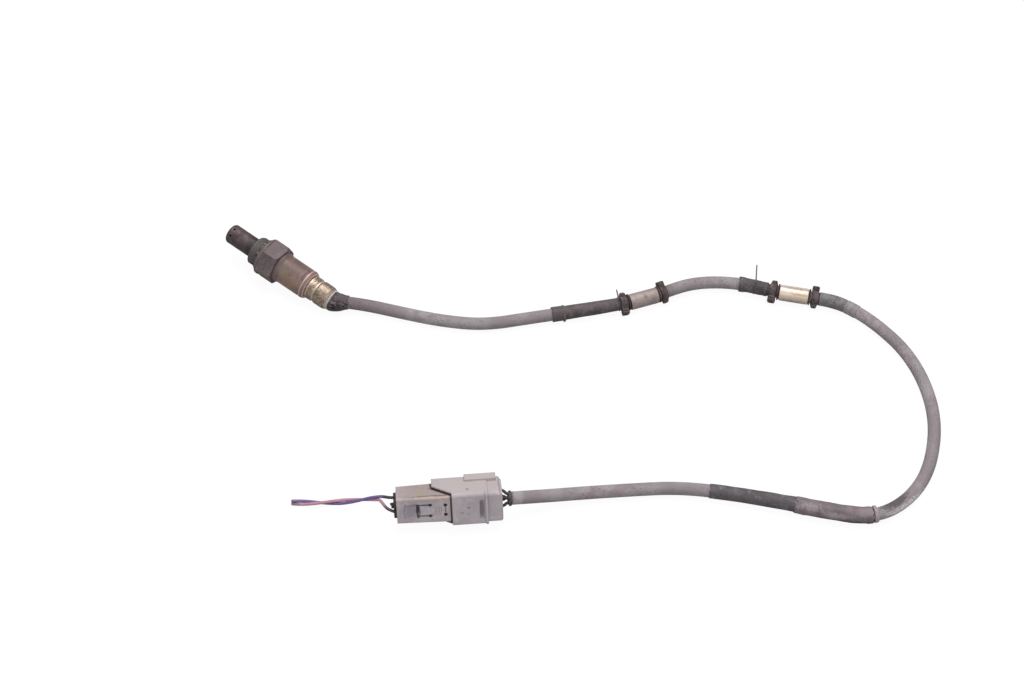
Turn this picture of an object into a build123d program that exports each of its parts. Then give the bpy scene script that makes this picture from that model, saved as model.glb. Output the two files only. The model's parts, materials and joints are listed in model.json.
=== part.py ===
from build123d import *
import os
from math import atan, cos, degrees, hypot, radians, sin, tan

# Exhaust oxygen sensor: threaded probe, sleeved lead with its ties and ferrules,
# and the mated plug pair with the cut-off pigtail. Millimetres, +Z up.

# ---------------------------------------------------------------- fits
SLIDE = 0.05          # radial clearance of pieces that slide together
SEAT = 0.05           # gap left between faces that seat on each other
LOOSE = 0.1           # clearance round soft pieces, slots and wires

# ---------------------------------------------------------------- probe
# Stations run along the probe's axis, from the front face of its thread.
PROBE_AT = -17.0      # where the front face of the thread lies
THREAD_D = 18.0       # M18 x 1.5 major diameter
THREAD_LEN = 5.2
THREAD_CHAMFER = 0.8
UNDERCUT_D = 16.4
UNDERCUT_LEN = 1.5
COLLAR_D = 23.4
COLLAR_LEN = 2.5
COLLAR_CHAMFER = 1.1
HEX_AF = 22.0
HEX_LEN = 10.3
HEX_ROLL = 8.0        # how far the hexagon lies rolled off its flat, degrees
BOSS_LEN = 4.0
HOLDER_D = 11.0       # bore that takes the ceramics
LIP_LEN = 0.4
LIP_D = 12.4
COVER_FLANGE_D = 14.0
REAR_LIP_LEN = 1.0
REAR_LIP_D = 9.0

TIP_D = 12.1
TIP_LEN = 19.4
TIP_WALL = 0.5
TIP_EDGE_R = 1.7
GAS_HOLES = 8
GAS_HOLE_D = 1.3
GAS_HOLE_BACK = 3.1   # from the closed end
END_HOLE_D = 1.8
INNER_TIP_D = 8.4
INNER_TIP_LEN = 15.1
INNER_TIP_WALL = 0.4
INNER_HOLES = 6
INNER_HOLE_BACK = 9.0

ELEMENT_W = 4.0
ELEMENT_T = 1.5
ELEMENT_FRONT = 12.0  # how far the element reaches in front of the thread face
ELEMENT_LEN = 46.0
HOLDER_LEN = 7.0
TALC_LEN = 4.4
PACKING_LEN = 4.6
CRIMP_RING_LEN = 0.8
CRIMP_RING_BORE = 6.4

CASE_D = 17.9
CASE_WALL = 0.6
WELD_COLLAR_D = 19.2
WELD_COLLAR_LEN = 1.2
WELD_FLARE_LEN = 1.6
CASE_LEN = 19.9       # hexagon to the start of the rear shoulder
CASE_GROOVE_BACK = 1.6
CASE_GROOVE_W = 0.8
CASE_GROOVE_DEPTH = 0.35
SHOULDER_LEN = 2.4
NECK_WALL = 0.45
NECK_LEN = 9.0
REAR_COVER_D = 14.6
REAR_COVER_WALL = 0.5
SHOULDER_RISE = 0.3   # the shoulder ends this far outside the rear cover
FILTER_T = 0.3
REAR_COVER_LEN = 14.6
CRIMP_FRONT = 5.0     # from the rear cover's front edge to the crimp's middle
CRIMP_W = 1.4
CRIMP_DEPTH = 0.45
REAR_ROUND_LEN = 3.0
REAR_MOUTH_DROP = 1.6
VENT_HOLES = 4
VENT_D = 1.3
VENT_FRONT = 2.2

INSULATOR_D = 13.8
INSULATOR_LEN = 15.0
INSULATOR_GAP = 1.5   # between the boss's end and the insulator
INSULATOR_SLOT = 5.4
CONTACT_W = 1.2
CONTACT_T = 0.35
CONTACT_RISE = 1.2
CLIP_T = 0.35
CLIP_LEN = 8.0
CLIP_FRONT = 3.0

WIRE_D = 1.7
WIRE_PITCH = 3.8      # square pattern of the four wires
BUSH_FRONT = 0.8      # bush starts this far inside the neck
BUSH_INSET = 0.6      # bush ends this far inside the rear cover's mouth
WIRE_OUT = 0.8        # wires show this far past the rear cover

# ---------------------------------------------------------------- lead
CORD_D = 7.3
EXIT_OUT = 2.7        # the sleeve starts this far behind the rear cover
EXIT_SIDE = 0.9
ROUTE = [
    (55.0, 9.0, 5.2),
    (78.0, 18.0, 4.2),
    (101.0, 27.0, 4.0),
    (123.0, 39.0, 4.0),
    (143.0, 59.5, 4.5),
    (164.0, 80.5, 5.2),
    (184.0, 101.5, 5.6),
    (195.0, 117.0, 5.6),
    (204.0, 133.0, 5.0),
    (216.0, 144.5, 4.3),
    (231.0, 152.5, 4.9),
    (251.0, 158.5, 5.6),
    (268.0, 166.0, 5.6),
    (283.0, 172.8, 4.9),
    (297.0, 173.8, 4.2),
    (313.0, 171.5, 4.0),
    (333.5, 165.0, 4.0),
    (354.0, 151.0, 4.0),
    (371.5, 130.5, 4.0),
    (382.5, 104.5, 4.0),
    (384.8, 84.0, 4.0),
    (380.5, 65.5, 4.4),
    (371.5, 53.0, 5.0),
    (354.0, 44.0, 5.3),
    (326.0, 32.8, 5.2),
    (300.0, 21.5, 4.6),
    (276.0, 8.8, 4.3),
    (255.0, -8.0, 4.2),
    (235.0, -25.5, 5.2),
    (220.2, -40.2, 7.5),
    (207.0, -54.6, 11.8),
]
ARC_SHARE = 0.45      # how much of the shorter run an arc may take

# Stations along the lead, from where it leaves the probe.
BOOT_D = 13.0
BOOT_LEN = 7.6
BOOT_WALL = 0.5
BOOT_END_D = 8.4
SHRINK_1 = (129.6, 40.6)
SHRINK_1_D = 8.7
RING_1_AT = 136.6
RING_1_W = 1.6
RING_1_D = 9.6
FERRULE_D = 9.5
FERRULE_WALL = 0.35
FERRULE_LEN = 17.0
FERRULE_1_AT = 185.1
FERRULE_2_AT = 278.0
GROMMET_T = 0.3
GROMMET_BEAD_D = 10.0
GROMMET_BEAD_LEN = 0.9
BEAD_GAP = 0.35       # the lead bends a little under the straight ferrule
TIE_W = 4.2
TIE_STRAP_T = 1.3
TIE_HEAD_W = 5.6
TIE_HEAD_H = 2.1
TIE_HEAD_L = 4.6
TIE_TAIL_W = 4.0
TIE_TAIL_H = 1.5
TIE_GAP = 0.3
TIE_HEAD_ANGLES = (-160.0, 36.0, -163.0, 40.0)
TIE_TAIL_ANGLES = (48.0, -154.0, 44.0, -157.0)
LOCK_WIRE_D = 0.64
LOCK_WIRE_1 = (169.3, 7.5, -14.0)  # station, height of the spike, its lean
LOCK_WIRE_2 = (255.2, 15.5, 7.0)
SHRINK_2 = (245.1, 17.3)
SHRINK_2_D = 8.9
SLEEVE_PATCH = (293.0, 15.9)
SLEEVE_PATCH_D = 8.3
TAPE = (309.3, 7.6)
TAPE_D = 8.0
KINK_RING_AT = 485.2
KINK_RING_W = 2.2
KINK_RING_D = 9.4
REPAIR = (487.6, 41.3)
REPAIR_D = 9.8
LONG_SHRINK = (529.3, 47.0)
LONG_SHRINK_D = 8.5
END_RING_W = 1.5
END_RING_D = 8.6

# ---------------------------------------------------------------- plug pair
# Plug frame: X from the pigtail to the lead, the latch on -Y, mouth of the hood at 0.
PLUG_AT = (183.1, -74.8)
PLUG_HEADING = 40.0
PLUG_ROLL = 22.0      # the latch side lies turned up by this much
INSERT_H = 17.0
INSERT_D = 14.6
INSERT_REAR_H = 16.4
INSERT_REAR_D = 13.2
INSERT_REAR = 30.0
INSERT_TAPER_END = 3.0
INSERT_NOSE = 12.0
INSERT_EDGE_R = 1.4
MATE_GAP = 0.25
HOOD_WALL = 1.6
MOUTH_STEP = 0.75      # the hood's mouth is opened by this much
MOUTH_STEP_LEN = 1.3
HOOD_LIP = 10.5       # how far the lip reaches over the insert
HOOD_CAVITY = 13.7
HOOD_BODY = 18.0
HOOD_LEN = 27.5
HOOD_EDGE_R = 2.0
HOOD_RIB_W = 1.5
HOOD_RIB_H = 0.5
HOOD_REAR_STEP = 0.6
HOOD_REAR_CHAMFER = 0.8
HOOD_TOP_CHAMFER = (2.8, 3.6)          # at the rear's top edge: along, down
HOOD_RECESS = (15.0, 2.4, 12.0, 0.8)   # start, length, width, depth
RAIL_FRONT = 7.4
RAIL_LEN = 17.2
RAIL_W = 5.4
RAIL_H = 1.0
LATCH_W = 6.0
LATCH_SLOT = 1.1
LATCH_TIP = 17.6      # free end of the latch, in front of the hood's mouth
LATCH_ROOT = 11.0
LATCH_T = 1.5
LATCH_CAVITY = 2.7
THUMB_LEN = 8.5
THUMB_DEPTH = 1.5
TOOL_HOLE = (3.6, 3.1, 1.7, 2.2)       # from the mouth, off the middle, width, depth
CATCH_AT = 3.0
CATCH_LEN = 3.4
CATCH_H = 1.1
WAY_PITCH_Y = 5.6
WAY_PITCH_Z = 6.4
WAY = 3.2             # square cavity of each terminal
SEAL_BORE = 4.4
SEAL_LEN = 5.0
SEAL_RIB = 0.12
SEAL_COLLAR_D = 5.4   # outside the housing, on the harness side
SEAL_COLLAR_LEN = 1.5
TERMINAL = 2.9
TERMINAL_LEN = 15.0
TERMINAL_WALL = 0.35
TERMINAL_BACK = 4.0
PIN_W = 1.5
PIN_T = 0.8
PIN_REACH = 12.0
PIN_TAIL = 9.0
NOSE_SEAL_AT = 6.4
NOSE_SEAL_W = 3.0
NOSE_SEAL_T = 1.3
SPACER_T = 1.3
HOLDER_PLATE_T = 1.9
HOLDER_PLATE_EDGE = 1.6
PIGTAIL_D = 1.7
PIGTAIL_OUT = 4.4
PIGTAIL_BEND = 4.4
PLUG_WIRE_BEND = 1.6
PIGTAIL_GAP = 0.25
PIGTAIL_HEADING = 34.0
# Middle of the pair, and how far it is twisted there.
PIGTAIL_ROUTE = [
    ((147.8, -95.4, 10.4), 90.0),
    ((142.3, -98.4, 8.2), 66.0),
    ((135.4, -102.4, 5.4), 40.0),
    ((128.2, -106.8, 3.2), 16.0),
    ((119.0, -113.0, 1.9), 0.0),
    ((107.3, -120.8, 1.9), 0.0),
]
WAY_NAMES = ("front upper", "front lower", "back upper", "back lower")
BLUE_WAY = "back upper"
RED_WAY = "front lower"
STUB_WAYS = ("front upper", "back lower")
STUB_LEN = 3.2


# ---------------------------------------------------------------- helpers
def turned(points):
    """Revolve a closed outline of (station, radius) about the probe's axis."""
    outline = Polyline(*[(s, r) for s, r in points], close=True)
    return revolve(make_face(outline), axis=Axis.X)


def rod(start, end, diameter):
    """A round bar along the probe's axis between two stations."""
    return Pos(start, 0, 0) * Rot(0, 90, 0) * Cylinder(
        diameter / 2, end - start, align=(Align.CENTER, Align.CENTER, Align.MIN))


def bar(start, end, width, height, y=0.0, z=0.0):
    """A box along X between two stations, centred on (y, z)."""
    return Pos(start, y, z) * Box(
        end - start, width, height, align=(Align.MIN, Align.CENTER, Align.CENTER))


def rounded_bar(start, end, width, height, radius):
    """A bar along X with its four long edges rounded."""
    return fillet(bar(start, end, width, height).edges().filter_by(Axis.X), radius)


def spokes(count, station, diameter, reach):
    """Round cutters that stand out from the probe's axis, evenly spaced."""
    drill = Pos(station, 0, 0) * Cylinder(
        diameter / 2, reach, align=(Align.CENTER, Align.CENTER, Align.MIN))
    return [Rot(360 / count * i, 0, 0) * drill for i in range(count)]


def square_pattern(pitch_y, pitch_z=None):
    """Centres of the four wires or ways, as (y, z)."""
    half_y = pitch_y / 2
    half_z = (pitch_z or pitch_y) / 2
    return [(y, z) for y in (-half_y, half_y) for z in (half_z, -half_z)]


# ---------------------------------------------------------------- probe stations
THREAD_END = THREAD_LEN
COLLAR_START = THREAD_LEN + UNDERCUT_LEN
HEX_START = COLLAR_START + COLLAR_LEN
HEX_END = HEX_START + HEX_LEN
BOSS_END = HEX_END + BOSS_LEN
BOSS_D = CASE_D - 2 * (CASE_WALL + SLIDE)
FLANGE_START = LIP_LEN + SEAT
INNER_FLANGE_START = FLANGE_START + TIP_WALL + SEAT
HOLDER_START = INNER_FLANGE_START + INNER_TIP_WALL + 2 * SEAT
TALC_START = HOLDER_START + HOLDER_LEN + SEAT
PACKING_START = TALC_START + TALC_LEN + SEAT
CRIMP_RING_START = PACKING_START + PACKING_LEN + SEAT
REAR_LIP_START = CRIMP_RING_START + CRIMP_RING_LEN + SEAT
CERAMIC_D = HOLDER_D - 2 * SLIDE
CASE_START = HEX_END + SEAT
SHOULDER_START = HEX_END + CASE_LEN
SHOULDER_END = SHOULDER_START + SHOULDER_LEN
REAR_COVER_START = SHOULDER_END + 0.5
REAR_COVER_END = REAR_COVER_START + REAR_COVER_LEN
CRIMP_AT = REAR_COVER_START + CRIMP_FRONT
NECK_END = SHOULDER_END + NECK_LEN
SHOULDER_D = REAR_COVER_D + 2 * SHOULDER_RISE
NECK_D = REAR_COVER_D - 2 * (REAR_COVER_WALL + SLIDE + FILTER_T)
NECK_BORE = NECK_D - 2 * NECK_WALL
REAR_MOUTH_D = REAR_COVER_D - 2 * REAR_MOUTH_DROP
INSULATOR_START = BOSS_END + INSULATOR_GAP
INSULATOR_END = INSULATOR_START + INSULATOR_LEN
BUSH_START = SHOULDER_END + BUSH_FRONT
BUSH_END = REAR_COVER_END - BUSH_INSET
HEX_CORNER = HEX_AF / 2 / cos(radians(30))
HEX_LOW = HEX_CORNER * cos(radians(30 - HEX_ROLL))
HEX_DROP = (HEX_CORNER - HEX_AF / 2) * tan(radians(30))
# The probe lies on the rear corners of its hexagon and on its rear cover.
TILT = degrees(atan((HEX_LOW - REAR_COVER_D / 2)
                    / (REAR_COVER_END - REAR_ROUND_LEN - HEX_END + HEX_DROP)))


# ---------------------------------------------------------------- probe pieces
def tip_cup(diameter, length, wall, edge_r, flange_start, flange_t):
    """A drawn cup with a rounded closed end and a flange at its mouth."""
    r = diameter / 2
    path = [
        Line((flange_start + flange_t, 0), (flange_start + flange_t, COVER_FLANGE_D / 2)),
        Line((flange_start + flange_t, COVER_FLANGE_D / 2), (flange_start, COVER_FLANGE_D / 2)),
        Line((flange_start, COVER_FLANGE_D / 2), (flange_start, r)),
        Line((flange_start, r), (edge_r - length, r)),
        TangentArc((edge_r - length, r), (-length, r - edge_r), tangent=(-1, 0)),
        Line((-length, r - edge_r), (-length, 0)),
        Line((-length, 0), (flange_start + flange_t, 0)),
    ]
    solid = revolve(make_face(Curve() + path), axis=Axis.X)
    inner_r = r - wall
    inner_edge = edge_r - wall
    hollow = rod(wall - length, flange_start + flange_t, 2 * inner_r)
    hollow = fillet(hollow.edges().sort_by(Axis.X)[0], inner_edge)
    return solid - hollow


def outer_tip_cover():
    """Outer protection tube with its ring of gas holes."""
    cup = tip_cup(TIP_D, TIP_LEN, TIP_WALL, TIP_EDGE_R, FLANGE_START, TIP_WALL)
    holes = spokes(GAS_HOLES, GAS_HOLE_BACK - TIP_LEN, GAS_HOLE_D, TIP_D)
    return cup - holes - rod(-TIP_LEN - 1, 2 * TIP_WALL - TIP_LEN, END_HOLE_D)


def inner_tip_cover():
    """Inner protection tube, its holes set off from the outer ones."""
    cup = tip_cup(INNER_TIP_D, INNER_TIP_LEN, INNER_TIP_WALL, TIP_EDGE_R,
                  INNER_FLANGE_START, INNER_TIP_WALL)
    return cup - spokes(INNER_HOLES, INNER_HOLE_BACK - INNER_TIP_LEN, GAS_HOLE_D, INNER_TIP_D)


def hex_housing():
    """Threaded steel housing with its collar, hexagon and rear boss."""
    thread = turned([
        (0, 0), (0, THREAD_D / 2 - THREAD_CHAMFER), (THREAD_CHAMFER, THREAD_D / 2),
        (THREAD_END, THREAD_D / 2), (THREAD_END, UNDERCUT_D / 2),
        (COLLAR_START, UNDERCUT_D / 2), (COLLAR_START, COLLAR_D / 2 - COLLAR_CHAMFER),
        (COLLAR_START + COLLAR_CHAMFER, COLLAR_D / 2), (HEX_START, COLLAR_D / 2),
        (HEX_START, BOSS_D / 2), (BOSS_END, BOSS_D / 2), (BOSS_END, 0)])
    hexagon = Pos(HEX_START, 0, 0) * Rot(0, 90, 0) * extrude(
        RegularPolygon(HEX_AF / 2, 6, major_radius=False, rotation=30 - HEX_ROLL), HEX_LEN)
    chamfer_cone = turned([
        (HEX_START, 0), (HEX_START, HEX_CORNER), (HEX_END - HEX_DROP, HEX_CORNER),
        (HEX_END, HEX_AF / 2), (HEX_END, 0)])
    body = thread + (hexagon & chamfer_cone)
    body -= rod(-1, LIP_LEN, LIP_D)
    body -= rod(LIP_LEN, HOLDER_START - SEAT, COVER_FLANGE_D + 2 * SLIDE)
    body -= rod(0, REAR_LIP_START, HOLDER_D)
    body -= rod(0, REAR_LIP_START + REAR_LIP_LEN, REAR_LIP_D)
    return body - rod(REAR_LIP_START + REAR_LIP_LEN, BOSS_END + 1, BOSS_D - 4 * CASE_WALL)


def seat_gasket():
    """Captive sealing ring in the undercut behind the thread."""
    start = THREAD_END + SEAT
    end = COLLAR_START - SEAT
    ring = rod(start, end, THREAD_D + 1.8) - rod(start, end, UNDERCUT_D + 2 * SLIDE)
    return fillet(ring.edges().filter_by(GeomType.CIRCLE).sort_by(SortBy.RADIUS)[-2:], 0.45)


def element():
    """Flat ceramic sensing element."""
    return bar(-ELEMENT_FRONT, ELEMENT_LEN - ELEMENT_FRONT, ELEMENT_W, ELEMENT_T)


def element_slot(start, end):
    return bar(start, end, ELEMENT_W + 2 * LOOSE, ELEMENT_T + 2 * LOOSE)


def slotted_ceramic(start, length):
    """A ceramic or powder disc with a slot for the element."""
    return rod(start, start + length, CERAMIC_D) - element_slot(start, start + length)


def crimp_ring():
    """Steel ring that the housing's rear lip is rolled on to."""
    end = CRIMP_RING_START + CRIMP_RING_LEN
    return rod(CRIMP_RING_START, end, CERAMIC_D) - rod(CRIMP_RING_START, end, CRIMP_RING_BORE)


def grooved_wall(outer_r, wall, start, end, middle, width, depth):
    """Outline points of a tube wall with a rolled groove, outer side first."""
    half = width / 2
    outer = [(start, outer_r), (middle - width, outer_r), (middle - half / 2, outer_r - depth),
             (middle + half / 2, outer_r - depth), (middle + width, outer_r), (end, outer_r)]
    inner = [(s, r - wall) for s, r in reversed(outer)]
    return outer, inner


def case():
    """Drawn steel case: weld collar, barrel, rolled groove, shoulder and neck."""
    r = CASE_D / 2
    collar_r = WELD_COLLAR_D / 2
    flare_end = CASE_START + WELD_COLLAR_LEN + WELD_FLARE_LEN
    groove = SHOULDER_START - CASE_GROOVE_BACK
    outer, inner = grooved_wall(r, CASE_WALL, flare_end, SHOULDER_START, groove,
                                CASE_GROOVE_W, CASE_GROOVE_DEPTH)
    neck, neck_in = grooved_wall(NECK_D / 2, NECK_WALL, SHOULDER_END, NECK_END, CRIMP_AT,
                                 CRIMP_W, CRIMP_DEPTH)
    shoulder = [(SHOULDER_START + SHOULDER_LEN * sin(radians(a)),
                 SHOULDER_D / 2 + (r - SHOULDER_D / 2) * cos(radians(a))) for a in (30, 60, 90)]
    inside = [(s - CASE_WALL / 2, q - CASE_WALL) for s, q in reversed(shoulder)]
    outline = ([(CASE_START, collar_r), (CASE_START + WELD_COLLAR_LEN, collar_r)] + outer
               + shoulder + neck + neck_in + inside + inner + [(CASE_START, r - CASE_WALL)])
    return turned(outline) - spokes(VENT_HOLES, REAR_COVER_START + VENT_FRONT, VENT_D, r)


def vent_filter():
    """Porous tube between the neck and the rear cover."""
    start = REAR_COVER_START + VENT_FRONT - VENT_D
    end = CRIMP_AT - CRIMP_W - LOOSE
    bore = NECK_D + 2 * SLIDE
    return rod(start, end, REAR_COVER_D - 2 * (REAR_COVER_WALL + SLIDE)) - rod(start, end, bore)


def rear_cover():
    """Rear sleeve, crimped through the neck into the rubber bush."""
    r = REAR_COVER_D / 2
    round_start = REAR_COVER_END - REAR_ROUND_LEN
    outer, inner = grooved_wall(r, REAR_COVER_WALL, REAR_COVER_START, round_start, CRIMP_AT,
                                CRIMP_W, CRIMP_DEPTH)
    mouth_r = REAR_MOUTH_D / 2
    dome = [(round_start + REAR_ROUND_LEN * sin(radians(a)),
             mouth_r + (r - mouth_r) * cos(radians(a))) for a in (25, 50, 72, 90)]
    inside = [(s - REAR_COVER_WALL * 0.6, q - REAR_COVER_WALL * 0.7) for s, q in dome[:-1]]
    mouth = [(REAR_COVER_END, mouth_r - REAR_COVER_WALL),
             (REAR_COVER_END - REAR_COVER_WALL, mouth_r - REAR_COVER_WALL)]
    body = turned(outer + dome + mouth + inside[::-1] + inner)
    return body - spokes(VENT_HOLES, REAR_COVER_START + VENT_FRONT, VENT_D, r + 1)


def rubber_bush():
    """Grommet that seals the four wires, squeezed by the crimp."""
    r = NECK_BORE / 2 - SLIDE
    end_r = REAR_MOUTH_D / 2 - REAR_COVER_WALL - SLIDE
    points, _ = grooved_wall(r, NECK_WALL, BUSH_START, NECK_END, CRIMP_AT, CRIMP_W, CRIMP_DEPTH)
    bush = turned(points + [(NECK_END, end_r), (BUSH_END, end_r), (BUSH_END, 0), (BUSH_START, 0)])
    for y, z in square_pattern(WIRE_PITCH):
        bush -= Pos(0, y, z) * rod(BUSH_START, BUSH_END, WIRE_D + 2 * LOOSE)
    return bush


def contact_insulator():
    """Ceramic that holds the spring contacts round the element's end."""
    body = rod(INSULATOR_START, INSULATOR_END, INSULATOR_D)
    body = chamfer(body.edges().filter_by(GeomType.CIRCLE), 0.5)
    return body - bar(INSULATOR_START, INSULATOR_END, INSULATOR_SLOT, INSULATOR_SLOT)


def contact_springs():
    """Four bent spring contacts, two on each face of the element."""
    touch = ELEMENT_T / 2 + SEAT
    start = INSULATOR_START + 2
    lift = touch + CONTACT_RISE
    end = INSULATOR_END + 1
    knee = ELEMENT_LEN - ELEMENT_FRONT - 2
    centre = [(start, touch + 0.5), (start + 1, touch), (knee, touch), (knee + 3, lift), (end, lift)]
    outline = centre + [(s, h + CONTACT_T) for s, h in reversed(centre)]
    strip = extrude(Plane.XZ * make_face(Polyline(*outline, close=True)), CONTACT_W / 2, both=True)
    offset = ELEMENT_W / 2 - CONTACT_W / 2 - LOOSE
    upper = [Pos(0, side * offset, 0) * strip for side in (-1, 1)]
    return Compound(upper + [Rot(180, 0, 0) * one for one in upper])


def retaining_clip():
    """Spring sleeve that centres the insulator in the case."""
    start = INSULATOR_START + CLIP_FRONT
    end = start + CLIP_LEN
    low = INSULATOR_D / 2 + SLIDE
    high = CASE_D / 2 - CASE_WALL - SLIDE - CLIP_T
    line = [(start, high), (start + 1.2, low), (end - 1.2, low), (end, high)]
    return turned(line + [(s, r + CLIP_T) for s, r in reversed(line)])


def lead_wires():
    """The four wires from the contacts out through the bush."""
    start = INSULATOR_END + 1 + SEAT
    end = REAR_COVER_END + WIRE_OUT
    return Compound([Pos(0, y, z) * rod(start, end, WIRE_D)
                     for y, z in square_pattern(WIRE_PITCH)])


# ---------------------------------------------------------------- placing the probe
PROBE_PIECES = {
    "outer_tip_cover": outer_tip_cover(),
    "inner_tip_cover": inner_tip_cover(),
    "sensing_element": element(),
    "hex_housing": hex_housing(),
    "seat_gasket": seat_gasket(),
    "element_holder": slotted_ceramic(HOLDER_START, HOLDER_LEN),
    "talc_seal": slotted_ceramic(TALC_START, TALC_LEN),
    "packing_sleeve": slotted_ceramic(PACKING_START, PACKING_LEN),
    "crimp_ring": crimp_ring(),
    "contact_insulator": contact_insulator(),
    "contact_springs": contact_springs(),
    "retaining_clip": retaining_clip(),
    "case": case(),
    "vent_filter": vent_filter(),
    "rear_cover": rear_cover(),
    "rubber_bush": rubber_bush(),
    "lead_wires": lead_wires(),
}
TILTED = Rot(0, TILT, 0)
PROBE_BOX = Compound([TILTED * piece for piece in PROBE_PIECES.values()]).bounding_box()
PLACED = Pos(PROBE_AT, 0, -PROBE_BOX.min.Z) * TILTED
# The finished part's origin lies under the middle of its probe.
TO_ORIGIN = Pos(-PROBE_AT - (PROBE_BOX.min.X + PROBE_BOX.max.X) / 2, 0, 0)


# ---------------------------------------------------------------- lead
EXIT = (PLACED * Pos(REAR_COVER_END + EXIT_OUT, EXIT_SIDE, 0)).position
POINTS = [EXIT] + [Vector(*point) for point in ROUTE]


def corner_radii(points):
    """Radius at each corner: as large as its two runs allow."""
    radii = []
    for before, corner, after in zip(points, points[1:], points[2:]):
        run = min((corner - before).length, (after - corner).length)
        half_turn = radians((corner - before).get_angle(after - corner)) / 2
        radii.append(ARC_SHARE * run / tan(half_turn))
    return radii


CORD_RADII = corner_radii(POINTS)
CORD_PATH = FilletPolyline(*POINTS, radius=CORD_RADII).wire()


def cord_plane(station):
    """Plane across the lead: X sideways, Y up, Z along the lead."""
    share = station / CORD_PATH.length
    along = CORD_PATH.tangent_at(share)
    return Plane(origin=CORD_PATH.position_at(share), x_dir=Vector(0, 0, 1).cross(along), z_dir=along)


def cable_sleeve():
    """The sleeved lead itself, as one plain round solid."""
    return sweep(cord_plane(0) * Circle(CORD_D / 2), path=CORD_PATH)


def cover_on_cord(start, length, diameter, bore=CORD_D + 2 * LOOSE):
    """A soft tube that follows the lead for a stretch."""
    total = CORD_PATH.length
    stretch = CORD_PATH.trim(start / total, (start + length) / total)
    ring = Circle(diameter / 2) - Circle(bore / 2)
    return sweep(cord_plane(start) * ring, path=stretch)


def band(station, width, diameter, bore=CORD_D + 2 * LOOSE):
    """A short stiff ring across the lead, centred on a station."""
    ring = Circle(diameter / 2) - Circle(bore / 2)
    return cord_plane(station) * extrude(ring, width / 2, both=True)


def frayed_boot():
    """Flared end of the lead's sleeve, pushed against the rear cover."""
    r = BOOT_D / 2
    bore = CORD_D / 2 + LOOSE
    outline = [(-r, r), (0.07 * BOOT_LEN, 0.95 * r), (0.36 * BOOT_LEN, 0.75 * r),
               (BOOT_LEN, BOOT_END_D / 2), (BOOT_LEN, bore), (0.4 * BOOT_LEN, bore),
               (0.09 * BOOT_LEN, 0.95 * r - BOOT_WALL), (-r, r - BOOT_WALL)]
    shape = Rot(0, -90, 0) * turned(outline)
    keep = PLACED * rod(REAR_COVER_END + SEAT, REAR_COVER_END + 3 * BOOT_LEN, 3 * BOOT_D)
    return (cord_plane(0) * shape) & keep


def grommet(station):
    """Rubber liner under a ferrule, with a bead at each end."""
    half = FERRULE_LEN / 2 + BEAD_GAP
    liner = cover_on_cord(station - half, 2 * half, CORD_D + 2 * (LOOSE + GROMMET_T))
    beads = [cover_on_cord(start, GROMMET_BEAD_LEN, GROMMET_BEAD_D)
             for start in (station - half - GROMMET_BEAD_LEN, station + half)]
    return liner + beads


def ferrule(station):
    """Thin metal tube rolled down on its rubber liner."""
    tube = band(station, FERRULE_LEN, FERRULE_D, FERRULE_D - 2 * FERRULE_WALL)
    return chamfer(tube.edges().filter_by(GeomType.CIRCLE).sort_by(SortBy.RADIUS)[-2:], 0.15)


def tie(station, head_angle, tail_angle):
    """Tie strap with its locking head and the folded stump of its tail."""
    outer = CORD_D / 2 + LOOSE + TIE_STRAP_T
    strap = extrude(Circle(outer) - Circle(CORD_D / 2 + LOOSE), TIE_W / 2, both=True)
    core = Cylinder(CORD_D / 2 + LOOSE, 2 * TIE_HEAD_L)
    head = fillet(Box(TIE_HEAD_H + TIE_STRAP_T, TIE_HEAD_W, TIE_HEAD_L).edges(), 0.5)
    head = Pos(outer + (TIE_HEAD_H - TIE_STRAP_T) / 2, 0, 0) * head
    tail = Pos(outer + (TIE_TAIL_H - TIE_STRAP_T) / 2, 0, 0) * Box(
        TIE_TAIL_H + TIE_STRAP_T, TIE_TAIL_W, TIE_W * 0.8)
    body = strap + Rot(0, 0, head_angle) * head + Rot(0, 0, tail_angle) * tail
    return cord_plane(station) * (body - core)


def lock_wire(station, height, lean, on_diameter):
    """One turn of thin wire round the lead, with its cut end standing up."""
    r = on_diameter / 2 + SLIDE + LOCK_WIRE_D / 2
    loop = Torus(r, LOCK_WIRE_D / 2)
    spike = Pos(0, r, 0) * Rot(lean, 0, 0) * Rot(-90, 0, 0) * Cylinder(
        LOCK_WIRE_D / 2, height, align=(Align.CENTER, Align.CENTER, Align.MIN))
    return cord_plane(station) * (loop + spike)


TIE_SHIFT = FERRULE_LEN / 2 + BEAD_GAP + GROMMET_BEAD_LEN + TIE_GAP + TIE_HEAD_L / 2
TIE_STATIONS = [FERRULE_1_AT - TIE_SHIFT, FERRULE_1_AT + TIE_SHIFT,
                FERRULE_2_AT - TIE_SHIFT, FERRULE_2_AT + TIE_SHIFT]


# ---------------------------------------------------------------- plug pair
HOOD_H = INSERT_H + 2 * (MATE_GAP + HOOD_WALL)
HOOD_D = INSERT_D + 2 * (MATE_GAP + HOOD_WALL)
WAYS = square_pattern(WAY_PITCH_Y, WAY_PITCH_Z)
HOOD_REAR_H = HOOD_H - 2 * HOOD_REAR_STEP
HOOD_REAR_D = HOOD_D - 2 * HOOD_REAR_STEP
HOLDER_PLATE_START = HOOD_LEN - HOLDER_PLATE_T
HOOD_SEAL_START = HOLDER_PLATE_START - SEAT - SEAL_LEN


def mouth_cutback():
    """Cutter that sets the hood's lip back on the latch side."""
    half = HOOD_D / 2
    outline = [(-HOOD_LIP, half * 0.1), (0, -half * 0.72), (0, -half - 1),
               (-HOOD_LIP - 1, -half - 1), (-HOOD_LIP - 1, half * 0.1)]
    return extrude(make_face(Polyline(*outline, close=True)), HOOD_H, both=True)


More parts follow.
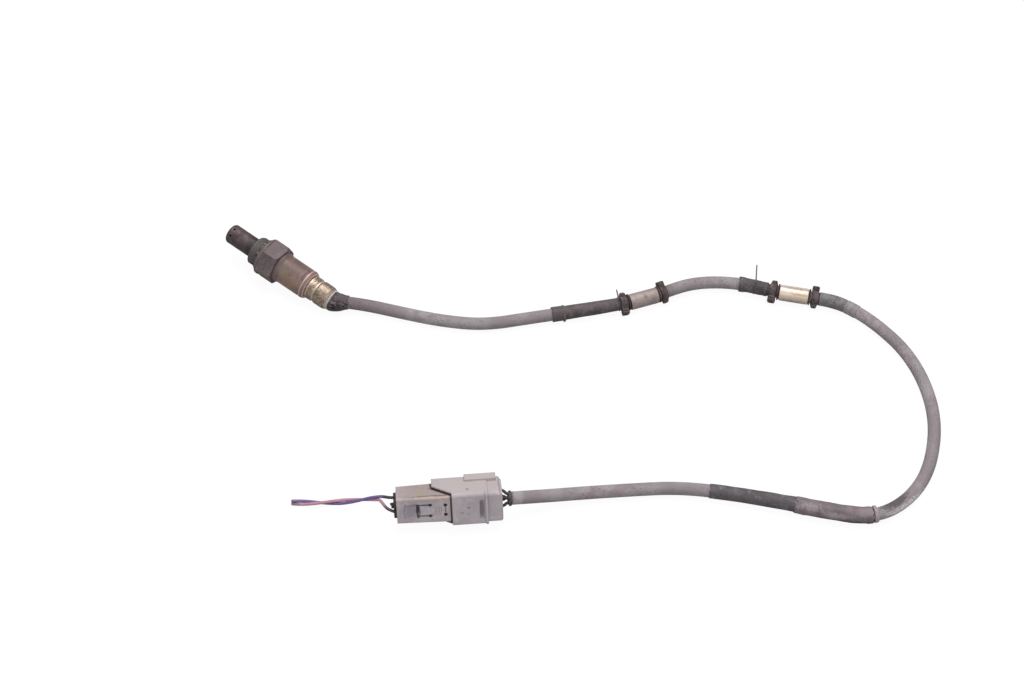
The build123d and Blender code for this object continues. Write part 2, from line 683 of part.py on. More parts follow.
def mouth_step():
    """Cutter that widens the hood's mouth, so a gap shows round the insert."""
    gap = 2 * (MATE_GAP + MOUTH_STEP)
    wide = rounded_bar(-HOOD_LIP, HOOD_CAVITY / 2, INSERT_D + gap, INSERT_H + gap, INSERT_EDGE_R)
    front = bar(-HOOD_LIP, MOUTH_STEP_LEN - HOOD_LIP, 2 * HOOD_D, 2 * HOOD_H)
    return wide & (front + Pos(MOUTH_STEP_LEN, 0, 0) * mouth_cutback())


def top_wedge():
    """Cutter for the large chamfer on the rear end's top edge."""
    along, down = HOOD_TOP_CHAMFER
    top = HOOD_H / 2 - HOOD_REAR_STEP
    outline = [(HOOD_LEN - along, top + RAIL_H + HOOD_REAR_STEP), (HOOD_LEN, top - down),
               (HOOD_LEN + 1, top - down), (HOOD_LEN + 1, HOOD_H), (HOOD_LEN - along, HOOD_H)]
    return extrude(Plane.XZ * make_face(Polyline(*outline, close=True)), HOOD_D, both=True)


def plug_hood():
    """Hooded housing on the sensor side."""
    body = rounded_bar(-HOOD_LIP, HOOD_BODY, HOOD_D, HOOD_H, HOOD_EDGE_R)
    rib_end = HOOD_BODY + HOOD_RIB_W
    body += rounded_bar(HOOD_BODY, rib_end, HOOD_D + 2 * HOOD_RIB_H, HOOD_H + 2 * HOOD_RIB_H,
                        HOOD_EDGE_R + HOOD_RIB_H) & bar(
        HOOD_BODY, rib_end, HOOD_D + 2 * HOOD_RIB_H, HOOD_H)
    rear = rounded_bar(rib_end, HOOD_LEN, HOOD_REAR_D, HOOD_REAR_H, HOOD_EDGE_R)
    body += chamfer(rear.faces().sort_by(Axis.X)[-1].edges(), HOOD_REAR_CHAMFER)
    body += Pos(0, HOOD_D / 2 - RAIL_W / 2 - HOOD_RIB_H, HOOD_H / 2) * bar(
        RAIL_FRONT, RAIL_FRONT + RAIL_LEN, RAIL_W, 2 * RAIL_H) & bar(
        -HOOD_LIP, HOOD_LEN - HOOD_REAR_CHAMFER, HOOD_D, HOOD_H + 2 * RAIL_H)
    body -= [mouth_cutback(), top_wedge()]
    body -= rounded_bar(-HOOD_LIP, HOOD_CAVITY, INSERT_D + 2 * MATE_GAP, INSERT_H + 2 * MATE_GAP,
                        INSERT_EDGE_R)
    body -= mouth_step()
    start, length, width, depth = HOOD_RECESS
    body -= bar(start, start + length, 2 * depth, width, y=-HOOD_D / 2)
    body -= bar(CATCH_AT - LOOSE, CATCH_AT + CATCH_LEN + LOOSE, 2 * (CATCH_H + LOOSE),
                LATCH_W + 2 * LOOSE, y=-INSERT_D / 2)
    body -= bar(HOLDER_PLATE_START - SEAT, HOOD_LEN + 1, HOOD_REAR_D - 2 * HOLDER_PLATE_EDGE,
                HOOD_REAR_H - 2 * HOLDER_PLATE_EDGE)
    for y, z in WAYS:
        body -= bar(HOOD_CAVITY - 1, HOOD_SEAL_START, PIN_T + 2 * SLIDE, PIN_W + 2 * SLIDE, y, z)
        body -= Pos(0, y, z) * rod(HOOD_SEAL_START - SEAT, HOOD_LEN, SEAL_BORE)
    return body


def hood_rear_holder():
    """Plate clipped into the hood's rear, which keeps the wire seals in."""
    edge = HOLDER_PLATE_EDGE + SLIDE
    plate = bar(HOLDER_PLATE_START, HOOD_LEN, HOOD_REAR_D - 2 * edge, HOOD_REAR_H - 2 * edge)
    plate = fillet(plate.edges().filter_by(Axis.X), 0.8)
    for y, z in WAYS:
        plate -= Pos(0, y, z) * rod(HOLDER_PLATE_START, HOOD_LEN, WIRE_D + 4 * LOOSE)
    return plate


def wire_seals(start):
    """Four ribbed rubber seals round the wires."""
    end = start + SEAL_LEN
    seals = []
    for y, z in WAYS:
        r = SEAL_BORE / 2 - SLIDE
        seal = turned([(start, 0), (start, r), (start + 1.2, r), (start + 1.6, r - SEAL_RIB),
                       (end - 1.6, r - SEAL_RIB), (end - 1.2, r), (end, r), (end, 0)])
        seals.append(Pos(0, y, z) * (seal - rod(start, end, WIRE_D + 2 * SLIDE)))
    return Compound(seals)


def collared_seals():
    """The harness-side seals, whose collars stand outside the housing."""
    start = -INSERT_REAR - SEAT - SEAL_COLLAR_LEN
    end = -INSERT_REAR + SEAL_LEN
    r = SEAL_BORE / 2 - SLIDE
    collar_r = SEAL_COLLAR_D / 2
    outline = [(start, 0), (start, collar_r - 0.4), (start + 0.4, collar_r),
               (start + SEAL_COLLAR_LEN, collar_r), (start + SEAL_COLLAR_LEN, r),
               (end - 1.6, r), (end - 1.2, r - SEAL_RIB), (end - 0.8, r), (end, r), (end, 0)]
    seal = turned(outline) - rod(start, end, WIRE_D + 2 * SLIDE)
    return Compound([Pos(0, y, z) * seal for y, z in WAYS])


def plug_pins():
    """Four flat pins that stand in the hood's floor."""
    return Compound([bar(HOOD_CAVITY - PIN_REACH, HOOD_SEAL_START - SEAT, PIN_T, PIN_W, y, z)
                     for y, z in WAYS])


def insert_shell():
    """Outer form of the harness-side housing, tapered to its rear."""
    rear = Plane(origin=(-INSERT_REAR, 0, 0), x_dir=(0, 1, 0), z_dir=(1, 0, 0))
    front = Plane(origin=(-INSERT_TAPER_END, 0, 0), x_dir=(0, 1, 0), z_dir=(1, 0, 0))
    shell = loft([rear * RectangleRounded(INSERT_REAR_D, INSERT_REAR_H, INSERT_EDGE_R),
                  front * RectangleRounded(INSERT_D, INSERT_H, INSERT_EDGE_R)])
    return shell + rounded_bar(-INSERT_TAPER_END, INSERT_NOSE, INSERT_D, INSERT_H, INSERT_EDGE_R)


def latch_cuts():
    """Cutters for the latch tongue: its slots, the space under it, the thumb recess."""
    face = -INSERT_D / 2
    slot_w = LATCH_W + 2 * LATCH_SLOT
    depth = 2 * LATCH_CAVITY
    under = bar(-LATCH_TIP - LATCH_SLOT, -LATCH_ROOT, LATCH_CAVITY - LATCH_T, LATCH_W,
                y=face + (LATCH_CAVITY + LATCH_T) / 2)
    slots = [bar(-LATCH_TIP - LATCH_SLOT, -LATCH_ROOT, depth, LATCH_SLOT, face,
                 side * (LATCH_W + LATCH_SLOT) / 2) for side in (-1, 1)]
    end = bar(-LATCH_TIP - LATCH_SLOT, -LATCH_TIP, depth, slot_w, face)
    thumb = bar(-LATCH_TIP - THUMB_LEN, -LATCH_TIP, 2 * THUMB_DEPTH, slot_w, face)
    thumb = fillet(thumb.edges().filter_by(Axis.Z).sort_by(Axis.X)[:2], THUMB_DEPTH * 0.9)
    from_mouth, off, width, deep = TOOL_HOLE
    holes = [bar(-from_mouth - width / 2, width / 2 - from_mouth, 2 * deep, width, face,
                 side * off) for side in (-1, 1)]
    ends = [bar(-LATCH_ROOT - width, -LATCH_ROOT, 2 * deep, width, face,
                side * (LATCH_W + LATCH_SLOT) / 2) for side in (-1, 1)]
    return [under, end, thumb] + slots + ends + holes


def nose_seal_ring(bore_gap):
    """Square ring in the groove near the insert's nose."""
    outer = rounded_bar(NOSE_SEAL_AT + SEAT, NOSE_SEAL_AT + NOSE_SEAL_W - SEAT,
                        INSERT_D + 2 * bore_gap, INSERT_H + 2 * bore_gap, INSERT_EDGE_R)
    return outer - rounded_bar(NOSE_SEAL_AT, NOSE_SEAL_AT + NOSE_SEAL_W,
                               INSERT_D - 2 * (NOSE_SEAL_T - SLIDE),
                               INSERT_H - 2 * (NOSE_SEAL_T - SLIDE), INSERT_EDGE_R)


def socket_housing():
    """Harness-side housing with the latch moulded on."""
    body = insert_shell() - latch_cuts()
    catch = Pos(0, -INSERT_D / 2, 0) * extrude(
        make_face(Polyline((CATCH_AT, -CATCH_H), (CATCH_AT + 1, -CATCH_H), (CATCH_AT + CATCH_LEN, 0),
                           (CATCH_AT + CATCH_LEN, 1), (CATCH_AT, 1), close=True)),
        LATCH_W / 2, both=True)
    body += catch
    groove = rounded_bar(NOSE_SEAL_AT, NOSE_SEAL_AT + NOSE_SEAL_W, 2 * INSERT_D, 2 * INSERT_H, 1)
    body -= groove - rounded_bar(NOSE_SEAL_AT - 1, NOSE_SEAL_AT + NOSE_SEAL_W + 1,
                                 INSERT_D - 2 * NOSE_SEAL_T, INSERT_H - 2 * NOSE_SEAL_T,
                                 INSERT_EDGE_R)
    for y, z in WAYS:
        body -= bar(-INSERT_REAR, INSERT_NOSE, WAY, WAY, y, z)
        body -= Pos(0, y, z) * rod(-INSERT_REAR, SEAL_LEN + 2 * SEAT - INSERT_REAR + 0.6, SEAL_BORE)
    return body


def socket_terminals():
    """Four box terminals that take the pins, each crimped to a wire."""
    start = INSERT_NOSE - TERMINAL_LEN - 0.4
    end = INSERT_NOSE - 0.4
    hole = TERMINAL - 2 * TERMINAL_WALL
    boxes = []
    for y, z in WAYS:
        box = bar(start, end, TERMINAL, TERMINAL, y, z) - bar(start + 1, end, hole, hole, y, z)
        boxes.append(box + Pos(0, y, z) * rod(start - TERMINAL_BACK, start, WIRE_D + 0.6))
    return Compound(boxes)


def socket_spacer():
    """Plate on the insert's nose that locks the terminals."""
    start = INSERT_NOSE + SEAT
    plate = rounded_bar(start, start + SPACER_T, INSERT_D - 1.6, INSERT_H - 1.6, 1)
    for y, z in WAYS:
        plate -= bar(start, start + SPACER_T, PIN_T + 0.8, PIN_W + 0.8, y, z)
    return plate


PLUG_PIECES = {
    "plug_hood": plug_hood(),
    "hood_rear_holder": hood_rear_holder(),
    "hood_wire_seals": wire_seals(HOOD_SEAL_START),
    "plug_pins": plug_pins(),
    "socket_housing": socket_housing(),
    "nose_seal": nose_seal_ring(MATE_GAP - SLIDE),
    "socket_spacer": socket_spacer(),
    "socket_terminals": socket_terminals(),
    "socket_wire_seals": collared_seals(),
}
ROLLED = Rot(0, 0, PLUG_HEADING) * Rot(-PLUG_ROLL, 0, 0)
PLUG_Z = -(ROLLED * PLUG_PIECES["plug_hood"]).bounding_box().min.Z
PLUG = Pos(*PLUG_AT, PLUG_Z) * ROLLED


def wire_along(points, diameter, bend):
    """A thin wire along straight runs joined by arcs, the first of them no wider than given."""
    first, *others = corner_radii(points)
    path = FilletPolyline(*points, radius=[min(first, bend), *others]).wire()
    return sweep(Plane(origin=path @ 0, z_dir=path % 0) * Circle(diameter / 2), path=path)


def plug_wires():
    """Four wires from the plug's rear to the end of the lead's sleeve."""
    end = cord_plane(CORD_PATH.length)
    ends = square_pattern(WIRE_PITCH)
    wires = []
    for (y, z), (side, up) in zip(WAYS, ends):
        points = [(PLUG * Pos(HOOD_SEAL_START, y, z)).position,
                  (PLUG * Pos(HOOD_LEN + 0.6, y, z)).position,
                  end.from_local_coords(Vector(-side, up, 1.0)),
                  end.from_local_coords(Vector(-side, up, SEAT))]
        wires.append(wire_along(points, WIRE_D, PLUG_WIRE_BEND))
    return Compound(wires)


def pigtail(way, side):
    """One harness wire, from its seal to its cut end on the surface."""
    y, z = WAYS[WAY_NAMES.index(way)]
    points = [(PLUG * Pos(SEAL_LEN - INSERT_REAR, y, z)).position,
              (PLUG * Pos(-INSERT_REAR - PIGTAIL_OUT, y, z)).position]
    heading = radians(PIGTAIL_HEADING)
    across = Vector(sin(heading), -cos(heading), 0)
    offset = side * (PIGTAIL_D / 2 + PIGTAIL_GAP)
    for middle, twist in PIGTAIL_ROUTE:
        lean = across * cos(radians(twist)) + Vector(0, 0, sin(radians(twist)))
        points.append(Vector(*middle) + lean * offset)
    return wire_along(points, PIGTAIL_D, PIGTAIL_BEND)


def cut_stubs():
    """Stumps of the two other harness wires, cut off at the housing."""
    stub = rod(-INSERT_REAR - STUB_LEN, SEAL_LEN - INSERT_REAR, WIRE_D)
    return Compound([PLUG * Pos(0, *WAYS[WAY_NAMES.index(way)]) * stub for way in STUB_WAYS])


# ---------------------------------------------------------------- all nodes
def nodes():
    made = {name: PLACED * piece for name, piece in PROBE_PIECES.items()}
    made["frayed_boot"] = frayed_boot()
    made["cable_sleeve"] = cable_sleeve()
    made["heat_shrink_1"] = cover_on_cord(*SHRINK_1, SHRINK_1_D)
    made["sleeve_ring"] = band(RING_1_AT, RING_1_W, RING_1_D, SHRINK_1_D + 2 * LOOSE)
    for number, station in enumerate((FERRULE_1_AT, FERRULE_2_AT), 1):
        made[f"grommet_{number}"] = grommet(station)
        made[f"ferrule_{number}"] = ferrule(station)
    for number, values in enumerate(zip(TIE_STATIONS, TIE_HEAD_ANGLES, TIE_TAIL_ANGLES), 1):
        made[f"tie_{number}"] = tie(*values)
    made["lock_wire_1"] = lock_wire(*LOCK_WIRE_1, SHRINK_1_D)
    made["heat_shrink_2"] = cover_on_cord(*SHRINK_2, SHRINK_2_D)
    made["lock_wire_2"] = lock_wire(*LOCK_WIRE_2, SHRINK_2_D)
    made["sleeve_patch"] = cover_on_cord(*SLEEVE_PATCH, SLEEVE_PATCH_D)
    made["tape_wrap"] = cover_on_cord(*TAPE, TAPE_D)
    made["kink_ring"] = band(KINK_RING_AT, KINK_RING_W, KINK_RING_D)
    made["repair_sleeve"] = cover_on_cord(*REPAIR, REPAIR_D)
    made["long_heat_shrink"] = cover_on_cord(*LONG_SHRINK, LONG_SHRINK_D)
    made["sleeve_end_ring"] = band(CORD_PATH.length - END_RING_W / 2, END_RING_W, END_RING_D)
    made["plug_wires"] = plug_wires()
    made.update({name: PLUG * piece for name, piece in PLUG_PIECES.items()})
    made["pigtail_blue"] = pigtail(BLUE_WAY, 1)
    made["pigtail_red"] = pigtail(RED_WAY, -1)
    made["cut_stubs"] = cut_stubs()
    return {name: TO_ORIGIN * piece for name, piece in made.items()}


def main():
    os.makedirs("parts", exist_ok=True)
    for name, shape in nodes().items():
        shape.label = name
        export_step(shape, os.path.join("parts", name + ".step"))
    print("thread middle", (TO_ORIGIN * PLACED * Pos((THREAD_CHAMFER + THREAD_END) / 2, 0, 0)).position)
    print("tilt %.2f" % TILT)
    print("lead length %.1f" % CORD_PATH.length)
    print("lead radii", [round(r, 1) for r in CORD_RADII])


main()
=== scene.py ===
# %% [markdown]
# # A used exhaust oxygen sensor
# A steel probe for an exhaust pipe, with a sleeved lead, a plug that is still latched to the
# harness side, and two cut harness wires. An exact model of the hard pieces is loaded first, as
# the fixed frame. Everything soft, worn or frayed is made round it here, in metres.

import json
from functools import partialmethod
from math import radians

import bpy
import numpy as np
from mathutils import Matrix, Vector


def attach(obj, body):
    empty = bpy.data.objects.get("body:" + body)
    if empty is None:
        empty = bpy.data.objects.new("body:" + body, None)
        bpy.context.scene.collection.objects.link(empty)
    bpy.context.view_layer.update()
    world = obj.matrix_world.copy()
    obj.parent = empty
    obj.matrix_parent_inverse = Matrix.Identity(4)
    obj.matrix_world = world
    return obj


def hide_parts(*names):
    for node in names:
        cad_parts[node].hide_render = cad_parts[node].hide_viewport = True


MM = 0.001
FULL_TURN = 2 * np.pi
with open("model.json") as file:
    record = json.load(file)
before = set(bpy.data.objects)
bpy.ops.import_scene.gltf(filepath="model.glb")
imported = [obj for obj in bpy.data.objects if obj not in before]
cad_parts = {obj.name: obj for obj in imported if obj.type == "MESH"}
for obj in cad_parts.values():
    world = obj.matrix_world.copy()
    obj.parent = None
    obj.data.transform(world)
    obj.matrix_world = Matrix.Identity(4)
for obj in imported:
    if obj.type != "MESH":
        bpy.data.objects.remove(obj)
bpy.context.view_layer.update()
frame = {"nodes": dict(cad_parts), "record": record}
scene = bpy.context.scene


def new_object(name, data, place=(0, 0, 0), target=None):
    """An object in the scene, turned so that its own -Z axis points at a target."""
    thing = bpy.data.objects.new(name, data)
    thing.location = place
    if target is not None:
        thing.rotation_mode = "QUATERNION"
        thing.rotation_quaternion = (Vector(target) - Vector(place)).to_track_quat("-Z", "Y")
    scene.collection.objects.link(thing)
    return thing


# %% [markdown]
# ## The camera
# It looks from the front right and well above, through a longish lens.

# %% Camera
CAMERA_AT = (0.5426, -0.5274, 0.9253)
LOOK_AT = (0.1392, 0.0412, 0.0)
FIELD_OF_VIEW = radians(29.0)
camera_data = bpy.data.cameras.new("camera")
camera_data.angle = FIELD_OF_VIEW
camera_data.clip_start = 0.05
camera_data.clip_end = 20.0
scene.camera = new_object("camera", camera_data, CAMERA_AT, LOOK_AT)
scene.view_settings.view_transform = "Standard"

# %% [markdown]
# ## Two small frames of reference
# The probe lies tilted on its hexagon, and the plug lies rolled a little. Their shapes and
# stains are described along their own axes, in millimetres, and a 4x4 matrix takes such a
# place to the row frame. The probe's comes from its mount, the plug's from where it lies.

# %% Frames of the probe and the plug
THREAD_MIDDLE = 3.0
PLUG_MIDDLE = (183.1, -74.8, 12.837)
PLUG_HEADING = radians(40.0)
PLUG_ROLL = radians(22.0)
TABLE_SHIFT = (-1.891, 0.0, 0.0)


def axes_matrix(origin, *axes):
    """Matrix from millimetres along three axes to metres from an origin."""
    rows = [[axis[i] * MM for axis in axes] + [origin[i]] for i in range(3)]
    return Matrix([*rows, (0, 0, 0, 1)])


def in_frame(matrix, points):
    """Places given in millimetres in a local frame, as an (n, 3) array in metres."""
    table = np.array(matrix)
    return np.asarray(points, float) @ table[:3, :3].T + table[:3, 3]


def on_table(points):
    """Places given in millimetres on the table, as an (n, 3) array in metres."""
    return (np.asarray(points, float) + TABLE_SHIFT) * MM


mount = frame["record"]["mounts"][0]
probe_axis = -Vector(mount["axis"]).normalized()
probe_origin = Vector(mount["pos_m"]) - probe_axis * THREAD_MIDDLE * MM
probe_up = Vector((-probe_axis.z, 0, probe_axis.x))
probe_frame = axes_matrix(probe_origin, probe_axis, (0, 1, 0), probe_up)
plug_turn = Matrix.Rotation(PLUG_HEADING, 3, "Z") @ Matrix.Rotation(-PLUG_ROLL, 3, "X")
plug_at = (Vector(PLUG_MIDDLE) + Vector(TABLE_SHIFT)) * MM
plug_frame = axes_matrix(plug_at, *plug_turn.transposed())

# %% [markdown]
# ## The route of the lead
# About 0.69 m of four wires in a braided sleeve lie on the table in one loop. A NURBS curve of
# order 3 bends smoothly as a real lead does: it starts and ends on its first and last point and
# rounds off the others. It is read back as a dense row of points, which carries every piece.

# %% Lead route
LEAD_ROUTE = [
    (55, 9, 5.2), (78, 18, 4.2), (101, 27, 4.0), (123, 39, 4.0), (143, 59.5, 4.5),
    (164, 80.5, 5.2), (184, 101.5, 5.6), (195, 117, 5.6), (204, 133, 5.0), (216, 144.5, 4.3),
    (231, 152.5, 4.9), (251, 158.5, 5.6), (268, 166, 5.6), (283, 172.8, 4.9),
    (297, 173.8, 4.2), (313, 171.5, 4.0), (333.5, 165, 4.0), (354, 151, 4.0),
    (371.5, 130.5, 4.0), (382.5, 104.5, 4.0), (384.8, 84, 4.0), (380.5, 65.5, 4.4),
    (371.5, 53, 5.0), (354, 44, 5.3), (326, 32.8, 5.2), (300, 21.5, 4.6), (276, 8.8, 4.3),
    (255, -8, 4.2), (235, -25.5, 5.2), (220.2, -40.2, 7.5), (207, -54.6, 11.8),
]
LEAD_START = in_frame(probe_frame, [(59.6, 0.9, 0.0)])[0]
FRAME_LEAD_LENGTH = 688.5
NURBS_STEPS = 24


def nurbs_line(points):
    """Dense points along a smooth curve that starts and ends on its first and last point."""
    curve = bpy.data.curves.new("route", "CURVE")
    curve.dimensions = "3D"
    spline = curve.splines.new("NURBS")
    spline.points.add(len(points) - 1)
    for control, place in zip(spline.points, points):
        control.co = (*place, 1.0)
    spline.order_u = 3
    spline.use_endpoint_u = True
    spline.resolution_u = NURBS_STEPS
    carrier = new_object("route", curve)
    graph = bpy.context.evaluated_depsgraph_get()
    mesh = bpy.data.meshes.new_from_object(carrier.evaluated_get(graph))
    line = np.zeros(len(mesh.vertices) * 3)
    mesh.vertices.foreach_get("co", line)
    bpy.data.meshes.remove(mesh)
    bpy.data.objects.remove(carrier)
    bpy.data.curves.remove(curve)
    return line.reshape(-1, 3)


def unit(vectors):
    """Vectors divided by their lengths."""
    return vectors / np.linalg.norm(vectors, axis=-1, keepdims=True)


def walked_along(line):
    """Distance in millimetres from the start of a line to each of its points."""
    steps = np.linalg.norm(np.diff(line, axis=0), axis=1)
    return np.concatenate([[0.0], np.cumsum(steps)]) / MM


class Line:
    """A dense line that can be asked for its place and directions at any distance along it."""

    def __init__(self, points):
        self.points = points
        self.stations = walked_along(points)
        self.length = self.stations[-1]

    def place(self, station):
        """Place in metres at a distance in millimetres, by straight interpolation."""
        return np.stack([np.interp(station, self.stations, row) for row in self.points.T], -1)

    def axes(self, station, reach=1.2):
        """Sideways, up and along directions: along is the chord between two near places."""
        station = np.clip(station, reach, self.length - reach)
        along = unit(self.place(station + reach) - self.place(station - reach))
        side = unit(np.cross((0.0, 0.0, 1.0), along))
        return side, np.cross(along, side), along


lead = Line(nurbs_line([LEAD_START, *on_table(LEAD_ROUTE)]))
stretch = lead.length / FRAME_LEAD_LENGTH
print("lead length (mm): %.1f, share of the frame's: %.4f" % (lead.length, stretch))

# %% [markdown]
# ## Surfaces from two numbers
# Every new piece is a surface: one number says how far along it we are, the other how far
# round. numpy works out all its points at once, and the mesh joins neighbours on that grid. A
# tube closes on itself, and its ends are joined to each other or closed with a cap.

# %% Mesh helpers


def shell(points, closed_rows=False, uv=None):
    """(vertices, faces, uv per corner) of a grid of points; open ends are closed by a fan."""
    rows, columns, _ = points.shape
    count = rows * columns
    row = np.arange(rows if closed_rows else rows - 1)[:, None] * columns
    next_row = (row + columns) % count
    here = np.arange(columns)
    after = (here + 1) % columns
    quads = np.stack([row + here, row + after, next_row + after, next_row + here],
                     -1).reshape(-1, 4)
    if uv is None:
        uv = np.linspace(0, 1, columns, endpoint=False), np.linspace(0, 1, rows)[:, None]
    u, v = (np.broadcast_to(part, (rows, columns)).reshape(-1) for part in uv)
    corner_u = u[quads]
    corner_u[np.tile(after == 0, len(row)), 1:3] += 1.0
    vertices = points.reshape(-1, 3)
    faces, corners = [quads], [np.stack([corner_u, v[quads]], -1)]
    if not closed_rows:
        last = count - columns
        fans = np.vstack([np.stack([after, here, np.full(columns, count)], -1), np.stack(
            [last + here, last + after, np.full(columns, count + 1)], -1)])
        u, v = np.append(u, [0.5, 0.5]), np.append(v, [v[0], v[-1]])
        vertices = np.vstack([vertices, points[0].mean(0), points[-1].mean(0)])
        faces.append(fans)
        corners.append(np.stack([u[fans], v[fans]], -1))
    return vertices, faces, corners


def outwards(vertices, faces, corners):
    """A shell, turned inside out where the volume in its faces is less than nothing."""
    volume = 0.0
    for block in faces:
        for k in range(1, block.shape[1] - 1):
            a, b, c = (vertices[block[:, i]] - vertices[0] for i in (0, k, k + 1))
            volume += np.einsum("ij,ij->i", a, np.cross(b, c)).sum()
    step = -1 if volume < 0 else 1
    return vertices, [f[:, ::step] for f in faces], [c[:, ::step] for c in corners]


def make_mesh(name, parts, slot, *replaces, finish=None, inner=None, sharp=None):
    """One object from closed shells, with its slot's finish or its own, riding on the root.
    The last shell may have an inner finish."""
    parts = [outwards(*part) for part in parts]
    first = np.cumsum([0] + [len(part[0]) for part in parts])
    faces = [block + start for part, start in zip(parts, first) for block in part[1]]
    sizes = np.concatenate([np.full(len(block), block.shape[1]) for block in faces])
    indices = np.concatenate([block.reshape(-1) for block in faces])
    mesh = bpy.data.meshes.new(name)
    mesh.vertices.add(first[-1])
    mesh.loops.add(len(indices))
    mesh.polygons.add(len(sizes))

    def fill(rows, attribute, values, kind=np.float32):
        rows.foreach_set(attribute, np.asarray(values, kind).reshape(-1))

    fill(mesh.vertices, "co", np.vstack([part[0] for part in parts]))
    fill(mesh.loops, "vertex_index", indices, np.int32)
    fill(mesh.polygons, "loop_start", np.cumsum(sizes) - sizes, np.int32)
    mesh.update(calc_edges=True)
    mesh.validate()
    corners = np.vstack([block.reshape(-1, 2) for part in parts for block in part[2]])
    fill(mesh.uv_layers.new(name="UVMap").data, "uv", corners)
    fill(mesh.polygons, "use_smooth", np.ones(len(sizes)), bool)
    if sharp is not None:
        mesh.set_sharp_from_angle(angle=radians(sharp))
    mesh.materials.append(finishes[finish or slot])
    if inner:
        mesh.materials.append(finishes[inner])
        outer_count = len(sizes) - sum(len(block) for block in parts[-1][1])
        fill(mesh.polygons, "material_index", np.arange(len(sizes)) >= outer_count, np.int32)
    piece = new_object(name, mesh)
    if replaces:
        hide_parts(*replaces)
    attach(piece, "root")
    print("%s: %d faces" % (name, len(sizes)))
    return piece


# %% Shapes of numbers


def ripple(angle, along, seed, waves=7, turns=6, pitch=0.5):
    """Smooth random height from -1 to 1: a sum of waves round and along the surface.
    A wave is sin(k * angle + m * along + phase), with whole k so that it closes."""
    draw = np.random.default_rng(seed)
    total = np.zeros(np.broadcast(angle, along).shape)
    for _ in range(waves):
        k = draw.integers(0, turns + 1)
        m = draw.uniform(-pitch, pitch)
        total = total + np.sin(k * angle + m * along + draw.uniform(0, 6.283)) / waves ** 0.5
    return np.clip(total / 1.6, -1, 1)


def smooth_step(value, low, high):
    """0 below low, 1 above high, and a soft slope between: 3t^2 - 2t^3."""
    t = np.clip((value - low) / (high - low), 0, 1)
    return t * t * (3 - 2 * t)


def bell(value, middle, width):
    """1 at the middle, falling off softly to both sides."""
    return np.exp(-((value - middle) / width) ** 2)


def half_round(value, middle, half):
    """Height of a half circle over a middle, and 0 beyond its half width."""
    return np.sqrt(np.clip(1 - ((value - middle) / half) ** 2, 0, 1))


def facing(angle, way):
    """1 where an angle points a certain way, and 0 from a quarter turn off it."""
    return np.clip(np.cos(angle - way), 0, 1)


def angles_round(columns):
    """One row of angles, evenly round a circle."""
    return np.linspace(0, FULL_TURN, columns, endpoint=False)[None, :]


def circle(centre, side, up, angle, radius):
    """Places round a centre, radius in millimetres: centre + radius (side cos + up sin)."""
    reach = (radius * MM)[..., None]
    return centre + (side * np.cos(angle)[..., None] + up * np.sin(angle)[..., None]) * reach

# %% [markdown]
# ## Shader values as formulas
# A Shade is one value in a shader. Sums on Shades add Math nodes, so that a formula reads as
# it would on paper. A colour is given by its code on a screen.

# %% Node helpers


class Shade:
    """A value in a shader: one output of a node."""

    def __init__(self, node, output=0):
        self.tree = node.id_data
        self.socket = node.outputs[output]

    def math(self, operation, *others, kind="Math", output=0):
        values = enumerate((self, *others))
        return Shade(add(self.tree, kind, values, operation=operation), output)

    __add__ = partialmethod(math, "ADD")
    __sub__ = partialmethod(math, "SUBTRACT")
    __mul__ = partialmethod(math, "MULTIPLY")
    __truediv__ = partialmethod(math, "DIVIDE")
    __pow__ = partialmethod(math, "POWER")
    __abs__ = partialmethod(math, "ABSOLUTE")

    def ranged(self, low, high, to_low=0.0, to_high=1.0, kind="SMOOTHSTEP"):
        """The value mapped from low..high to to_low..to_high, with soft ends as a rule."""
        return Shade(add(self.tree, "MapRange", {
            "Value": self, "From Min": low, "From Max": high, "To Min": to_low,
            "To Max": to_high}, interpolation_type=kind))

    def parts(self):
        """The three parts of a vector."""
        node = add(self.tree, "SeparateXYZ", {0: self})
        return [Shade(node, index) for index in range(3)]


def feed(node, inputs):
    """Links each input to a Shade, or gives it a value."""
    for key, value in dict(inputs).items():
        if isinstance(value, Shade):
            node.id_data.links.new(value.socket, node.inputs[key])
        else:
            node.inputs[key].default_value = value


def add(tree, kind, inputs=(), **settings):
    """A shader node with its settings and inputs."""
    node = tree.nodes.new("ShaderNode" + kind)
    for key, value in settings.items():
        setattr(node, key, value)
    feed(node, inputs)
    return node


def mix(share, below, above):
    """One value over another by a share."""
    return Shade(add(share.tree, "Mix", {0: share, 2: below, 3: above}))


def mix_colours(share, below, above):
    """One colour over another by a share."""
    node = add(share.tree, "Mix", {0: share, 6: below, 7: above}, data_type="RGBA")
    return Shade(node, 2)


def noise(vector, scale, detail, seed):
    """Noise from 0 to 1 at a scale, with a seed of its own."""
    return Shade(add(vector.tree, "TexNoise", {
        "Vector": vector, "W": seed, "Scale": scale, "Detail": detail, "Roughness": 0.55},
        noise_dimensions="4D"), "Fac")


def srgb(code):
    """The linear colour that a shader wants, from a screen's colour code."""
    parts = [int(code[i:i + 2], 16) / 255 for i in (0, 2, 4)]
    return (*[c / 12.92 if c <= 0.04045 else ((c + 0.055) / 1.055) ** 2.4 for c in parts], 1.0)


